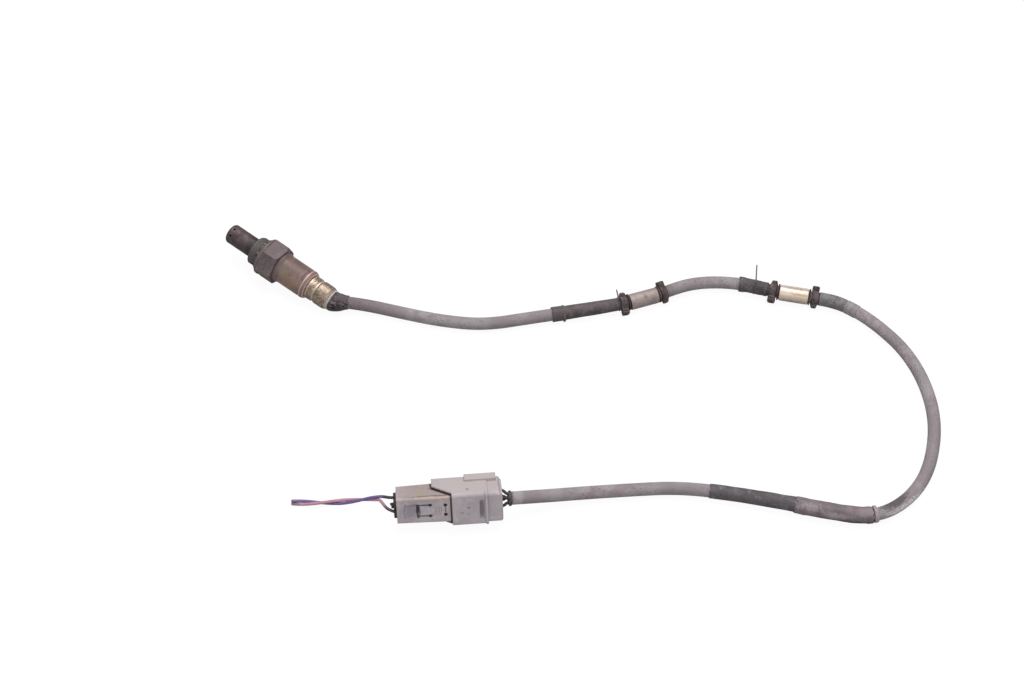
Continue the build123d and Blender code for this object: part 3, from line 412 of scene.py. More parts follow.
def node_group(name, inputs, build):
    """A shader node group. inputs lists names by kind of socket; build gets them as Shades and
    returns the outputs by name."""
    tree = bpy.data.node_groups.new(name, "ShaderNodeTree")

    def socket(label, side, kind):
        tree.interface.new_socket(name=label, in_out=side, socket_type="NodeSocket" + kind)

    for kind, labels in inputs.items():
        for label in labels.split():
            socket(label, "INPUT", kind)
    start = tree.nodes.new("NodeGroupInput")
    outputs = build({label: Shade(start, label) for label in " ".join(inputs.values()).split()})
    for label in outputs:
        socket(label, "OUTPUT", {"Color": "Color", "Normal": "Vector"}.get(label, "Float"))
    end = tree.nodes.new("NodeGroupOutput")
    feed(end, outputs)
    return tree


# %% [markdown]
# ## Marks that several pieces share
# Old steel, nylon and braid all have broad patches of a second shade, stains with soft edges
# and fine specks. One node group makes them from noise. The others weave a braid, find worn
# edges, and put a soft spot at one known place.

# %% Node groups
MARK_KINDS = (("Patch", 0.12, 3.0, 0.0), ("Stain", 0.07, 5.0, 7.3), ("Speck", 0.04, 2.0, 13.7))


def marks_of_age(read):
    """Patches, stains and specks over a base colour. Each mask is noise cut at a level that
    falls as its share grows."""
    colour = read["Base"]
    for kind, softness, detail, seed_step in MARK_KINDS:
        fog = noise(read["Vector"], read[kind + "Scale"], detail, read["Seed"] + seed_step)
        cut = read[kind + "Share"].math("MULTIPLY_ADD", -0.4, 0.72)
        colour = mix_colours(fog.ranged(cut - softness, cut + softness), colour, read[kind])
    grain = noise(read["Vector"], read["SpeckScale"] * 1.7, 4.0, read["Seed"] + 31.0)
    return {"Color": colour, "Grain": grain}


def braid(read):
    """Two families of strands, a = n u + v / p and b = n u - v / p, are each a row of half
    rounds |sin(pi a)|. The parity of floor(a) + floor(b) says which is on top."""
    u, v, _ = read["UV"].parts()
    across, along = u * read["Strands"], v / read["Pitch"]
    a, b = across + along, across - along
    rounds = [abs((x * np.pi).math("SINE")) for x in (a, b)]
    parity = abs((a.math("FLOOR") + b.math("FLOOR")).math("MODULO", 2.0))
    height = mix(parity, *rounds) ** 0.6 * (
        mix(parity, *rounds[::-1]).math("MULTIPLY_ADD", 0.5, 0.5))
    return {"Height": height, "Gaps": height.ranged(0.1, 0.55, 1.0, 0.0)}


def spot(read):
    """Mask of a soft, slightly ragged spot: 1 inside an ellipsoid, 0 outside."""
    apart = read["Vector"].math("SUBTRACT", read["Centre"], kind="VectorMath")
    scaled = apart.math("DIVIDE", read["Reach"], kind="VectorMath")
    far = scaled.math("LENGTH", kind="VectorMath", output="Value")
    fog = noise(read["Vector"], 0.8, 3.0, 3.0) - 0.5
    edge = fog.math("MULTIPLY_ADD", read["Ragged"] * 4.0, far)
    inner = read["Softness"].math("MULTIPLY_ADD", -1.0, 1.0)
    return {"Mask": edge.ranged(inner, read["Softness"] + 1.0, 1.0, 0.0)}


def worn_edge(read):
    """There is an edge where the surface normal turns away from the normal averaged within a
    radius. That average also rounds the edge in the light."""
    average = Shade(add(read["Radius"].tree, "Bevel", {"Radius": read["Radius"]}, samples=6))
    plain = Shade(add(average.tree, "NewGeometry"), "Normal")
    match = average.math("DOT_PRODUCT", plain, kind="VectorMath", output="Value")
    return {"Mask": match.ranged(0.75, 0.985, 1.0, 0.0), "Normal": average}


groups = {
    "marks": node_group("marks of age", {
        "Vector": "Vector", "Color": "Base Patch Stain Speck",
        "Float": "PatchScale PatchShare StainScale StainShare SpeckScale SpeckShare Seed"},
        marks_of_age),
    "braid": node_group("braid", {"Vector": "UV", "Float": "Strands Pitch"}, braid),
    "spot": node_group("spot", {"Vector": "Vector Centre Reach", "Float": "Softness Ragged"},
                       spot),
    "edge": node_group("worn edge", {"Float": "Radius"}, worn_edge),
}

# %% [markdown]
# ## Building a material
# A finish starts from Object coordinates in millimetres, or from a piece's own UV map where
# the pattern follows a sleeve round its bends.

# %% Material builder
LEAD_REACH = 3.6  # the radius at which a finish meets the lead
finishes = {}


class Finish:
    """The material of a slot while it is built: its shader, coordinates and colour so far. Its
    four shades are for base, patches, stains and specks. Without axes it follows the UV map."""

    def __init__(self, slot, metallic, roughness, shades, seed, sizes=(0.12, 0.3, 1.6),
                 shares=(0.5, 0.3, 0.2), axes=None, specular=0.5):
        finishes[slot] = bpy.data.materials.new(slot + "_finish")
        finishes[slot].use_nodes = True
        self.tree = finishes[slot].node_tree
        self.tree.nodes.clear()
        self.shader = add(self.tree, "BsdfPrincipled", {
            "Metallic": metallic, "Roughness": roughness, "Specular IOR Level": specular})
        add(self.tree, "OutputMaterial", {0: Shade(self.shader)})
        coordinates = add(self.tree, "TexCoord")
        self.uv = Shade(coordinates, "UV")
        self.place = self.along_lead() if axes is None else self.along_axes(
            Shade(coordinates, "Object"), axes.inverted())
        base, *others = (srgb(shade) for shade in shades.split())
        values = {"Vector": self.place, "Base": base, "Seed": seed}
        for (kind, *_), shade, size, share in zip(MARK_KINDS, others, sizes, shares):
            values.update({kind: shade, kind + "Scale": size, kind + "Share": share})
        marks = self.group("marks", values)
        self.colour, self.grain = Shade(marks, "Color"), Shade(marks, "Grain")
        self.heights, self.normal = [], {}

    def along_lead(self):
        """Coordinates that follow a sleeve: cos and sin of the way round, and the way along."""
        u, v, _ = self.uv.parts()
        angle = u * FULL_TURN
        return Shade(add(self.tree, "CombineXYZ", {
            0: angle.math("COSINE") * LEAD_REACH, 1: angle.math("SINE") * LEAD_REACH, 2: v}))

    def along_axes(self, place, back):
        """Coordinates in millimetres along the axes of a local frame."""
        return Shade(add(self.tree, "Mapping", {
            "Vector": place, "Location": back.translation, "Scale": (1 / MM,) * 3,
            "Rotation": (back.to_3x3() * MM).to_euler("XYZ")}, vector_type="POINT"))

    def group(self, name, values):
        return add(self.tree, "Group", values, node_tree=groups[name])

    def over(self, colour, mask, strength):
        """Lays a colour over the one so far by a mask."""
        self.colour = mix_colours(mask * strength, self.colour, srgb(colour))
        return self

    def spots(self, table):
        """Stains, scars, painted shade and painted highlights, one to a row: colour, centre x y z
        and reach x y z in millimetres, softness, raggedness and strength."""
        for row in filter(None, table.split("\n")):
            colour, *numbers = row.split()
            *places, softness, ragged, strength = (float(number) for number in numbers)
            node = self.group("spot", {"Vector": self.place, "Centre": places[:3], "Reach":
                                       places[3:], "Softness": softness, "Ragged": ragged})
            self.over(colour, Shade(node), strength)
        return self

    def beyond(self, colour, side_range, edge_range, margin, strength):
        """Colours all that lies past an edge across X, where the edge slants with Y."""
        x, y, _ = self.place.parts()
        past = x - y.ranged(*side_range, *edge_range, kind="LINEAR")
        return self.over(colour, past.ranged(-margin - 0.15, 0.15 - margin), strength)

    def arcs(self, colour, centre, pitch, near, far, strength):
        """Fine arcs on the side that faces -Y: rings round a centre, between two radii."""
        x, _, z = self.place.parts()
        across, along = x - centre[0], z - centre[1]
        radius = (across * across + along * along).math("SQRT")
        lines = (radius * (FULL_TURN / pitch)).math("SINE").ranged(0.35, 0.85)
        kept = radius.ranged(near, near + 0.3) * radius.ranged(far, far + 0.3, 1.0, 0.0)
        flat = abs(along).ranged(3.2, 4.0, 1.0, 0.0) * across.ranged(0.0, 0.4)
        return self.over(colour, lines * kept * flat, strength)

    def braid(self, colour, strands, pitch, depth, strength):
        """Weaves strands on the piece's UV map, with painted shade in the gaps between them."""
        node = self.group("braid", {"UV": self.uv, "Strands": strands, "Pitch": pitch})
        self.heights.append((Shade(node, "Height"), depth))
        return self.over(colour, Shade(node, "Gaps"), strength)

    def edges(self, colour, radius, strength):
        """Rubs the edges to another shade and rounds them in the light."""
        node = self.group("edge", {"Radius": radius * MM})
        self.normal = {"Normal": Shade(node, "Normal")}
        return self.over(colour, Shade(node, "Mask"), strength)

    def done(self, depth=0.0, *roughness):
        """Adds fine bumps of a depth (mm) and a range of roughness, and links it all."""
        if depth:
            self.heights.append((self.grain, depth))
        if roughness:
            feed(self.shader, {"Roughness": self.grain.ranged(0.25, 0.75, *roughness)})
        for height, distance in self.heights:
            self.normal = {"Normal": Shade(add(self.tree, "Bump", {
                "Height": height, "Distance": distance * MM, "Strength": 1.0, **self.normal}))}
        feed(self.shader, {"Base Color": self.colour, **self.normal})


# %% [markdown]
# ## The finishes
# Steel on the probe has been red hot and cold many times, so it is dark with brown, purple and
# green tints. Paste and soot cover its thread. A dark row crosses it. Pale rings on the rear and
# on the case's shoulder are painted highlights, and the case has painted light and shade.

# %% Steel of the probe
Finish("tip_steel", 0.55, 0.55, "584c4f 463a3c 685256 3a3234", 1, (0.16, 0.35, 2.2),
       (0.5, 0.35, 0.3), axes=probe_frame).spots("""
    343230  -1 0 0  3.4 9 9  0.45 0.3 0.8""").done(0.05, 0.42, 0.66)
Finish("gasket_steel", 0.7, 0.5, "686862 403c3a 8c8880 302c2c", 3, (0.3, 0.6, 2.5),
       (0.6, 0.4, 0.4), axes=probe_frame).done(0.06, 0.4, 0.65)
# Painted highlights: pale rings where light catches the rear's shoulder, a groove and its rim.
Finish("rear_steel", 0.85, 0.4, "ae9c8b 968474 8c7a6c 685a50", 5, (0.25, 0.55, 1.5),
       (0.5, 0.4, 0.35), axes=probe_frame).spots("""
    d6c6b4  47.3 0 0  0.5 12 12  0.2 0.1 0.8
    cebcaa  42.9 0 0  0.5 12 12  0.2 0.1 0.7
    d4c8be  56.6 0 0  0.45 12 12  0.2 0.1 0.8""").done(0.04, 0.36, 0.52)
Finish("housing_steel", 0.55, 0.5, "746768 65595c 7c706e 8c8280", 6, (0.14, 0.34, 1.5),
       (0.5, 0.35, 0.25), axes=probe_frame).spots("""
    686361  1.2 0 0  5.4 14 14  0.12 0.1 0.85
    423e3c  5.9 0 0  1.2 14 14  0.25 0.1 0.8
    605457  13 2 11.5  6.5 12 4.8  0.5 0.5 0.7""").edges(
    "8c807e", 0.45, 0.3).done(0.05, 0.45, 0.66)
# Painted light on the case: lighter low on the near side and darker on top, to even out the
# lamp's light. The two pale rings are painted highlights on the shoulder. Next to the hexagon it
# is darker, part heat tint and part painted shade.
Finish("case_steel", 0.4, 0.5, "967d75 846c69 9c816e 705b59", 8, (0.13, 0.32, 1.4),
       (0.45, 0.35, 0.35), axes=probe_frame).spots("""
    aa9689  31 -8.5 -5.5  12 4.8 5.4  0.6 0.5 0.7
    6a595e  20.6 0 0  3.6 12 12  0.4 0.35 0.85
    887e66  26.5 -5 7  4 4.6 4.6  0.6 0.35 0.6
    8e7460  31.5 -7.5 3  4.5 4.5 4.5  0.6 0.4 0.6
    747666  36.5 -8.5 -1  3.5 4 4  0.6 0.4 0.7
    62504f  29.5 1 8.8  12.5 6.6 3.8  0.6 0.4 0.8
    866c67  40.6 0 0  1.7 12 12  0.3 0.1 0.8
    d8b8b0  39.45 0 0  0.42 12 12  0.15 0.05 0.75
    d8b8b0  41.6 0 0  0.42 12 12  0.15 0.05 0.7""").done(0.03, 0.44, 0.6)

# %% Metal, ceramic, powder, rubber and plastic inside
ROW_AXES = Matrix.Scale(MM, 4)
for slot, metallic, roughness, shades, seed, *relief in (
        ("inner_steel", 0.9, 0.45, "786e68 60544e 82685a 504a46", 2, 0.02, 0.35, 0.55),
        ("spring_steel", 1, 0.3, "c4c4c8 aaaaac 968c82 787674", 4, 0, 0.22, 0.38),
        ("element_ceramic", 0, 0.6, "eeeae2 ded8ce 969696 c8c4be", 9, 0.01),
        ("body_ceramic", 0, 0.7, "e8e2d6 d8cebe beb09c b4aaa0", 10, 0.02),
        ("talc", 0, 0.9, "d6d4ce c4c2bc b0aaa0 96948e", 11, 0.04),
        ("filter_white", 0, 0.8, "f0f0ec e2e2dc cec8be bebcb6", 12),
        ("bush_rubber", 0, 0.75, "3c3636 2c2828 4c4240 1e1c1c", 13, 0.02),
        ("spacer_plastic", 0, 0.5, "e2ded6 d0cac0 beb4a6 aaa49c", 15),
        ("pin_brass", 1, 0.3, "cebe96 baa478 968260 78644a", 16, 0, 0.25, 0.4),
        ("cut_copper", 1, 0.35, "be8264 a06850 785442 5a4034", 50, 0, 0.3, 0.45)):
    Finish(slot, metallic, roughness, shades, seed, axes=ROW_AXES).done(*relief)

# %% [markdown]
# The lead's sleeve is a varnished glass braid, grey with dust, dark under the tie straps and
# scorched at its end. Shrink tubes, tape, ties and old rubber are dull and creased. A reach of
# 20 mm goes all round the lead.

# %% Finishes of the lead
WORN = (0.06, 0.5, 0.72)


def worn(slot, shades, seed, sizes=(0.12, 0.25, 1.5), shares=(0.5, 0.35, 0.25)):
    return Finish(slot, 0, 0.6, shades, seed, sizes, shares, specular=0.4)


# Painted light on the sleeve: before the kink a dark patch on top is painted shade and a pale
# streak is a painted highlight; a pale band just before the plug end is a painted sheen.
Finish("sleeve_grey", 0, 0.75, "a29b9c 8f878a 95878d 7c7577", 20, (0.045, 0.2, 1),
       (0.5, 0.45, 0.24), specular=0.3).spots("""
    786a70  0 0 4  20 20 24  0.7 0.3 0.85
    564e52  -1.4 3.3 472  3.2 2.8 9.5  0.45 0.4 0.9
    d6d0d2  3.3 1.4 468  1.7 1.8 12  0.5 0.6 0.8
    bab3b6  0 0 684  20 20 2.6  0.5 0.4 0.5
    7e736a  0 0 201  20 20 3.4  0.6 0.6 0.55
    484042  0 0 173.2  20 20 3.4  0.1 0.03 0.95
    484042  0 0 264.6  20 20 3.8  0.1 0.03 0.95
    484042  0 0 291  20 20 2.8  0.1 0.03 0.95""").braid(
    "6a6265", 22, 1.5, 0.2, 0.55).done(0.05)
Finish("boot_dark", 0, 0.7, "564c4f 3e3739 7a6d6e 221e20", 21, (0.2, 0.75, 1.3), (0.5, 0.42, 0.4),
       specular=0.3).spots("""
    605459  0.6 4.2 6  3.4 3 6.5  0.5 0.5 0.85
    c4bab6  0 0 -0.1  20 20 0.75  0.3 0.2 0.85""").done(0.3)
worn("patch_grey", "757173 666365 807b7d 545153", 22).done(0.12, 0.5, 0.72)
worn("tape_grey", "90898b 80797b 9e9797 686163", 23, (0.3, 0.6, 2.4), (0.4, 0.3, 0.2)).done(*WORN)
worn("shrink_dark", "4e4649 40383c 5c5956 6e6866", 24, (0.12, 0.4, 1.5),
     (0.5, 0.4, 0.22)).spots("""
    605157  0 4.4 152  5 2.6 18  0.6 0.6 0.6
    544b4a  0 0 132.4  20 20 3.6  0.1 0.05 0.65""").done(*WORN)
worn("shrink_long", "5a5459 4c464b 6c666a 3a3539", 25).done(*WORN)
worn("repair_mottled", "7e7579 676064 7a626b 625b5f", 26, (0.13, 0.4, 1.1),
     (0.5, 0.4, 0.2)).spots("""
    3e383b  3.2 -2 496  2.6 2.4 11  0.35 0.4 0.9
    9c9295  1.8 3.1 521  1.5 1.5 5  0.5 0.9 0.65
    988d92  3.1 1.8 507  1.3 1.5 6.5  0.5 0.9 0.6
    8c8084  0.6 3.5 491  3 1.6 4  0.5 0.5 0.6""").done(0.14, 0.5, 0.72)
worn("ring_brown", "5e5556 504748 6e6564 423a3b", 27).spots("""
    a49699  0 0 485.2  20 20 6  0.2 0.1 0.85""").done(*WORN)
worn("grommet_rubber", "503836 3e2a2a 5c4642 2c2020", 28, (0.3, 0.6, 2.4)).done(*WORN)
worn("tie_brown", "5a4c4d 423739 70615e 2e2628", 29, (0.22, 0.45, 1.6),
     (0.5, 0.4, 0.4)).done(0.14, 0.5, 0.72)
Finish("lock_wire", 0.3, 0.55, "a8a4a4 8e8a8a 78706e 605a5a", 30).spots("""
    4a4245  0 0 10  20 20 15  0.1 0.05 0.95""").done()
Finish("ferrule_dull", 0.35, 0.5, "9d8e8b 8e807f 84716e b2a6a1", 31, (0.12, 0.3, 1.5),
       (0.4, 0.3, 0.2)).done(0.06, 0.48, 0.64)
# Painted shade: the bright ferrule is darker along its top and along one side, as a lit tube is.
Finish("ferrule_bright", 0.5, 0.4, "dccbbc cebcac c4aa8e e8dcd0", 32, (0.12, 0.3, 1.5),
       (0.4, 0.25, 0.2)).spots("""
    b69270  -2.1 2.9 281.5  0.42 0.42 4.5  0.4 0.3 0.6
    968a86  0.6 4 278  0.9 0.9 9.5  0.4 0.2 0.7
    968a82  -3.5 -0.6 278  1.2 1.2 9.5  0.5 0.3 0.6""").done(0.04, 0.4, 0.52)
worn("wire_black", "40373a 30282b 544a4c 221c1e", 33, (0.3, 0.6, 2)).done(*WORN)
for slot, shades, seed in (("wire_blue", "69548e 7a6290 5e4c80 4a3c5c", 34),
                           ("wire_red", "b88697 ab7e90 c296a2 82626c", 35)):
    Finish(slot, 0, 0.45, shades, seed, (0.15, 0.3, 1.6), specular=0.45).spots("""
    3a3238  0 0 2  20 20 11  0.2 0.15 0.9
    70646c  0 0 69  20 20 4.5  0.2 0.1 0.5""").done(0.02, 0.35, 0.5)

# %% [markdown]
# The nylon of the plug was pale once. Its top is painted warmer and darker for the light
# from above. Its hood has small dark scars, painted shade in a recess and under its lip, and
# a painted highlight on its rib. Its socket has small stains on top, a painted shadow and a
# painted highlight along an edge, painted shade in a recess and in square holes in its side,
# and a painted shadow in the gap at its mouth.

# %% Nylon and seal of the plug
SMOOTH = (0.02, 0.42, 0.56)
NYLON_SHADES = "b4abb1 a9a0a7 bcb2b3 988f94"
# Painted light on the nylon: its top is painted warmer and darker, standing in for warm light
# from above. On the hood, dark marks in the recess before the rib and under the lower lip are
# painted shade and a pale line on the rib is a painted highlight; the other marks are scars.
for slot, seed, scars_and_painted_light in (("holder_grey", 44, ""), ("hood_grey", 40, """
    54464c  9 -9.3 1.6  0.7 0.9 0.6  0.4 0.2 0.75
    54464c  5.2 -9.3 -1.6  1.2 0.9 0.35  0.4 0.2 0.55
    54464c  8.4 -9.3 -2.6  0.5 0.9 0.4  0.4 0.2 0.5
    54464c  8.6 -4 10.2  0.8 0.8 0.6  0.4 0.2 0.6
    6c626a  16 -8.6 0  1.25 1.5 5.9  0.2 0.15 0.75
    c0b8bd  18.75 -9.6 0  0.7 1.2 8.5  0.3 0.1 0.6
    524446  -3 -5.5 -10.4  4.2 3.2 1.8  0.3 0.2 0.85""")):
    Finish(slot, 0, 0.45, NYLON_SHADES, seed, (0.09, 0.2, 1.5), axes=plug_frame,
           specular=0.45).spots("b0a4a3  10 2 12  22 12 4.5  0.5 0.3 0.8").edges(
        "bcb4b6", 1, 0.25).spots(scars_and_painted_light).done(*SMOOTH)
# Painted light on the socket: the top is painted warmer and darker for the light from above, and
# the small spots on it are stains. A brown and a pale line along its top edge are a painted
# shadow of a rib and a painted highlight on the edge. Marks in the latch recess and the dark
# squares and line at its holes are painted shade. Past a line just before the hood's mouth it is
# painted dark, a painted shadow in the gap there.
Finish("socket_grey", 0, 0.45, "b6adb2 aaa1a7 bcb0af 988e92", 42, (0.1, 0.22, 1.5),
       (0.5, 0.35, 0.22), axes=plug_frame, specular=0.45).spots("""
    968683  -12 1 10.5  24 12 5  0.4 0.25 0.8
    968e74  -16.4 -1.8 8.5  3.4 2 2  0.7 0.6 0.6
    9e7068  -15.4 2.6 8.5  1.3 0.9 1.5  0.5 0.4 0.6
    966460  -12.6 1.2 8.5  0.8 0.6 1.5  0.4 0.3 0.7
    a0746e  -18.8 3.4 8.5  1.2 0.5 1.5  0.5 0.4 0.5
    705848  -14.5 -5.3 8.5  11.5 0.42 1.1  0.5 0.3 0.85
    6a5446  -6 -5.9 8.5  4 0.6 1.1  0.5 0.3 0.8
    c0ac98  -10 -7 7.8  11 0.9 0.9  0.6 0.3 0.6
    7e7581  -22 -7 0.6  4.4 3 4.6  0.5 0.5 0.5
    3e3746  -20.4 -7 3.9  2.3 3 0.55  0.3 0.2 0.75
    322c3c  -18.5 -7 0  1.2 3 4.7  0.15 0.12 0.92
    584e56  -3.6 -7.3 0  0.42 1.5 2.8  0.3 0.2 0.7
    2e282e  -11.85 -7 3.55  1.05 3 1.05  0.15 0.05 0.92
    2e282e  -11.85 -7 -3.55  1.05 3 1.05  0.15 0.05 0.92
    2e282e  -3.6 -7 3.1  1.05 3 1.05  0.15 0.05 0.92
    2e282e  -3.6 -7 -3.1  1.05 3 1.05  0.15 0.05 0.92""").arcs(
    "706670", (-11.6, 0), 1.1, 2.2, 6.4, 0.75).edges("baaead", 0.45, 0.35).beyond(
    "483737", (-6.6, 0.9), (0, -10.5), 1, 0.95).done(*SMOOTH)
Finish("seal_rubber", 0, 0.7, "423235 2e2427 544040 1e1a1c", 14, (0.5, 0.8, 2.5), (0.5, 0.4, 0.4),
       axes=plug_frame).done(0.04)
slot_of = {part["node"]: part["material_slot"] for part in frame["record"]["subparts"]}
for name, node in frame["nodes"].items():
    for place in node.material_slots:
        place.material = finishes[slot_of[name]]

# %% [markdown]
# ## Tubes that follow the lead
# A sleeve or shrink tube is a closed wall: out along its outer side, back along its bore. One
# function of the distance along it and the angle round it gives its creases and lumps. A
# station is in millimetres along the frame's lead. Angle 0 is to its left, a quarter turn up.

# %% Walls along the lead
BORE = 3.6


def lead_at(station):
    """Place and sideways, up and along directions at a station."""
    return lead.place(station * stretch), *lead.axes(station * stretch)


def on_lead(station, angle, radius):
    """Places round the lead at each station."""
    return circle(*lead_at(station)[:3], angle, radius)


def still(axes_at):
    """Places stiff pieces: straight along the lead's direction at one place."""
    middle, side, up, along = lead_at(axes_at)

    def place(station, angle, radius):
        shift = (station - axes_at)[..., None] * MM
        return circle(middle + along * shift, side, up, angle, radius)

    return place


def wall(start, length, outer, inner=BORE, rows=60, columns=80, lip=0.3, jags=(None, None),
         place=on_lead):
    """Closed wall of a tube. outer(s, angle) is its radius at s millimetres from its start,
    rounded down to the bore within lip of each end; jags move the ends by angle."""
    angle = angles_round(columns)
    ends = np.linspace(0, 1, 9)[1:-1] ** 1.6 * lip / length
    share = np.unique(np.concatenate([
        [0], ends, np.linspace(lip / length, 1 - lip / length, rows), 1 - ends, [1]]))[:, None]
    front, back = (edge(angle) if edge else 0.0 * angle for edge in jags)
    s = share * (length + back - front) + front
    near = np.clip(np.minimum(share, 1 - share) * length / lip, 0, 1)
    radius = inner + (outer(s, angle) - inner) * np.sqrt(1 - (1 - near) ** 2)
    way_back = np.linspace(1, 0, max(rows // 2, 3))[1:-1, None]
    inner_s = way_back * (length + back - front) + front
    station = np.vstack([s, inner_s]) + start
    radius = np.vstack([radius, np.full(inner_s.shape, inner)])
    return shell(place(station, angle, radius), closed_rows=True,
                 uv=(angle / FULL_TURN, station))


def jag(seed, depth, low=None):
    """Torn edge: random steps round it, deeper round the angle low where that is given."""
    def edge(angle):
        steps = ripple(angle, 0, seed, 9, 9) * 0.6 + ripple(angle, 0, seed + 1, 6, 22) * 0.4
        return depth * steps * (1.0 if low is None else 0.35 + 0.65 * facing(angle, low))
    return edge


# %% [markdown]
# ## The sleeved lead
# The wires inside press the braid a little out of true, and it is pinched at the kink.

# %% Sleeve
SLEEVE_R = 3.65
KINK = 485.2
SLEEVE_ROWS, SLEEVE_COLUMNS = 1150, 40
s = np.linspace(0, FRAME_LEAD_LENGTH, SLEEVE_ROWS)[:, None]
angle = angles_round(SLEEVE_COLUMNS)
radius = SLEEVE_R * (1 + 0.018 * ripple(angle, s, 3, 8, 3, 0.12)) - 0.12 * bell(s, KINK, 3.0)
sleeve = make_mesh("lead_sleeve", [shell(on_lead(s, angle, radius), uv=(angle / FULL_TURN, s))],
                   "sleeve_grey", "cable_sleeve")

# %% [markdown]
# ## Shrink tubes, patch, tape and repair
# These were slid or wound on at different times, so each has its own wall and ends.

# %% Soft tubes on the lead
LOW_SIDE = radians(205)


def shrink_one(s, angle):
    """A cuff at the start, a long body that narrows, and shallow creases."""
    cuff = 0.22 * (1 - smooth_step(s, 6.0, 7.6))
    return 4.28 + cuff - 0.011 * s + 0.07 * ripple(angle, s, 11, 9, 5, 0.5)


def shrink_two(s, angle):
    """A fat folded start and creases along it."""
    fold = 0.32 * (1 - smooth_step(s, 2.0, 5.0)) + 0.1 * bell(s, 12, 1.5)
    return 4.2 + fold + 0.08 * ripple(angle, s, 12, 9, 5, 0.7)


def patch_outer(s, angle):
    """Thin, with the sleeve's unevenness showing through."""
    return 4.02 + 0.1 * ripple(angle, s, 13, 9, 6, 0.7)


def tape_outer(s, angle):
    """Overlapping turns: each turn steps up by the tape's thickness."""
    turn = (s / 2.5 + angle / FULL_TURN) % 1.0
    return 3.85 + 0.16 * smooth_step(turn, 0.0, 0.12) + 0.04 * ripple(angle, s, 14)


def repair_outer(s, angle):
    """Torn, lumpy tube: thick at the kink, with a lump where it ends at the other side."""
    lump = 0.3 * bell(s, 37.5, 2.2) * (0.5 + 0.5 * np.cos(angle - radians(40)))
    coarse, fine = ripple(angle, s, 15, 11, 6, 0.45), ripple(angle, s, 16, 9, 16, 1.6)
    return 4.62 + lump + 0.2 * coarse + 0.07 * fine


def long_outer(s, angle):
    """Long tube with slack creases near its start."""
    slack = np.exp(-s / 14)
    return 4.05 + (0.08 + 0.16 * slack) * ripple(angle, s, 17, 9, 5, 0.45) + 0.12 * slack


soft_tubes = {
    "shrink_1": (129.6, 40.6, shrink_one, 100, (jag(101, 0.35), None)),
    "shrink_2": (245.1, 17.3, shrink_two, 60, (jag(102, 0.5), None)),
    "mend": (293.0, 15.9, patch_outer, 50, (None, jag(103, 1.6, LOW_SIDE))),
    "tape": (309.3, 7.6, tape_outer, 60, (jag(104, 0.3), jag(105, 0.3))),
    "repair": (487.0, 41.9, repair_outer, 130, (jag(106, 0.8, LOW_SIDE + np.pi), jag(107, 1.6))),
    "long": (529.3, 47.0, long_outer, 130, (jag(108, 0.4), jag(109, 0.5))),
}
tube = {key: wall(start, length, outer, rows=rows, jags=jags)
        for key, (start, length, outer, rows, jags) in soft_tubes.items()}

# %% [markdown]
# A black inner layer peeks out below the torn tube at the kink, as part of the same object.

# %% Inner end of the repair, and rings


def peek_outer(s, angle):
    """A tongue that stands proud only near one angle."""
    near = facing(angle, radians(318)) ** 3
    return 3.62 + 1.2 * near + 0.08 * near * ripple(angle, s, 18, 9, 9, 1.2)


RING_FOOT = 3.75


def ring(start, width, radius, seed, lump=0.0, height=0.0, rough=0.06, lip=0.35):
    """Half-round ring, with a lump of a height at one angle."""
    def outer(s, angle):
        knob = height * facing(angle, radians(lump)) ** 14
        crown = (radius - RING_FOOT) * half_round(s, width / 2, width * 0.62)
        return RING_FOOT + crown + knob + rough * ripple(angle, s, seed, 9, 7, 0.8)
    return wall(start, width, outer, rows=16, lip=lip)


peek = wall(486.6, 3.6, peek_outer, rows=16, lip=0.5, jags=(jag(110, 0.4), None))
cuff_ring = ring(135.7, 1.8, 4.75, 21, 228, 0.55)
kink_ring = ring(484.0, 2.4, 4.7, 22, 150, 0.25, 0.1)
end_ring = ring(687.4, 1.1, 4.3, 23, rough=0.08, lip=0.3)
on_the_lead = [
    make_mesh("sleeve_mend", [tube["mend"]], "patch_grey", "sleeve_patch"),
    make_mesh("tape_turns", [tube["tape"]], "tape_grey", "tape_wrap"),
    make_mesh("long_tube", [tube["long"]], "shrink_long", "long_heat_shrink"),
    make_mesh("repair_tube", [tube["repair"], peek], "repair_mottled", "repair_sleeve",
              inner="boot_dark"),
    make_mesh("rubber_rings", [cuff_ring, kink_ring], "ring_brown", "sleeve_ring", "kink_ring"),
    make_mesh("shrink_tubes", [tube["shrink_1"], tube["shrink_2"], end_ring], "shrink_dark",
              "heat_shrink_1", "heat_shrink_2", "sleeve_end_ring"),
]

# %% [markdown]
# ## Ferrules and their grommets
# A ferrule is a short metal tube rolled down over a rubber liner, where a clip holds the lead
# to the car. It stays straight while the lead bends, and it has shallow dents.

# %% Ferrules
FERRULES = ((185.1, "ferrule_dull"), (278.0, "ferrule_bright"))
FERRULE_LENGTH = 17.0
BEAD = 0.9
BEAD_GAP = 0.35
LINER = FERRULE_LENGTH + 2 * (BEAD_GAP + BEAD)


def ferrule_outer(seed):
    def outer(s, angle):
        turned_in = 0.16 * (bell(s, 0, 0.5) + bell(s, FERRULE_LENGTH, 0.5))
        return 4.75 - turned_in + 0.045 * ripple(angle, s, seed, 8, 3, 0.3)
    return outer


def grommet_outer(s, angle):
    """A thin liner with a bead at each end."""
    bead = half_round(np.abs(s - LINER / 2), (LINER - BEAD) / 2, BEAD * 0.56)
    return 4.05 + 0.95 * bead + 0.05 * ripple(angle, s, 31, 8, 7, 0.5)


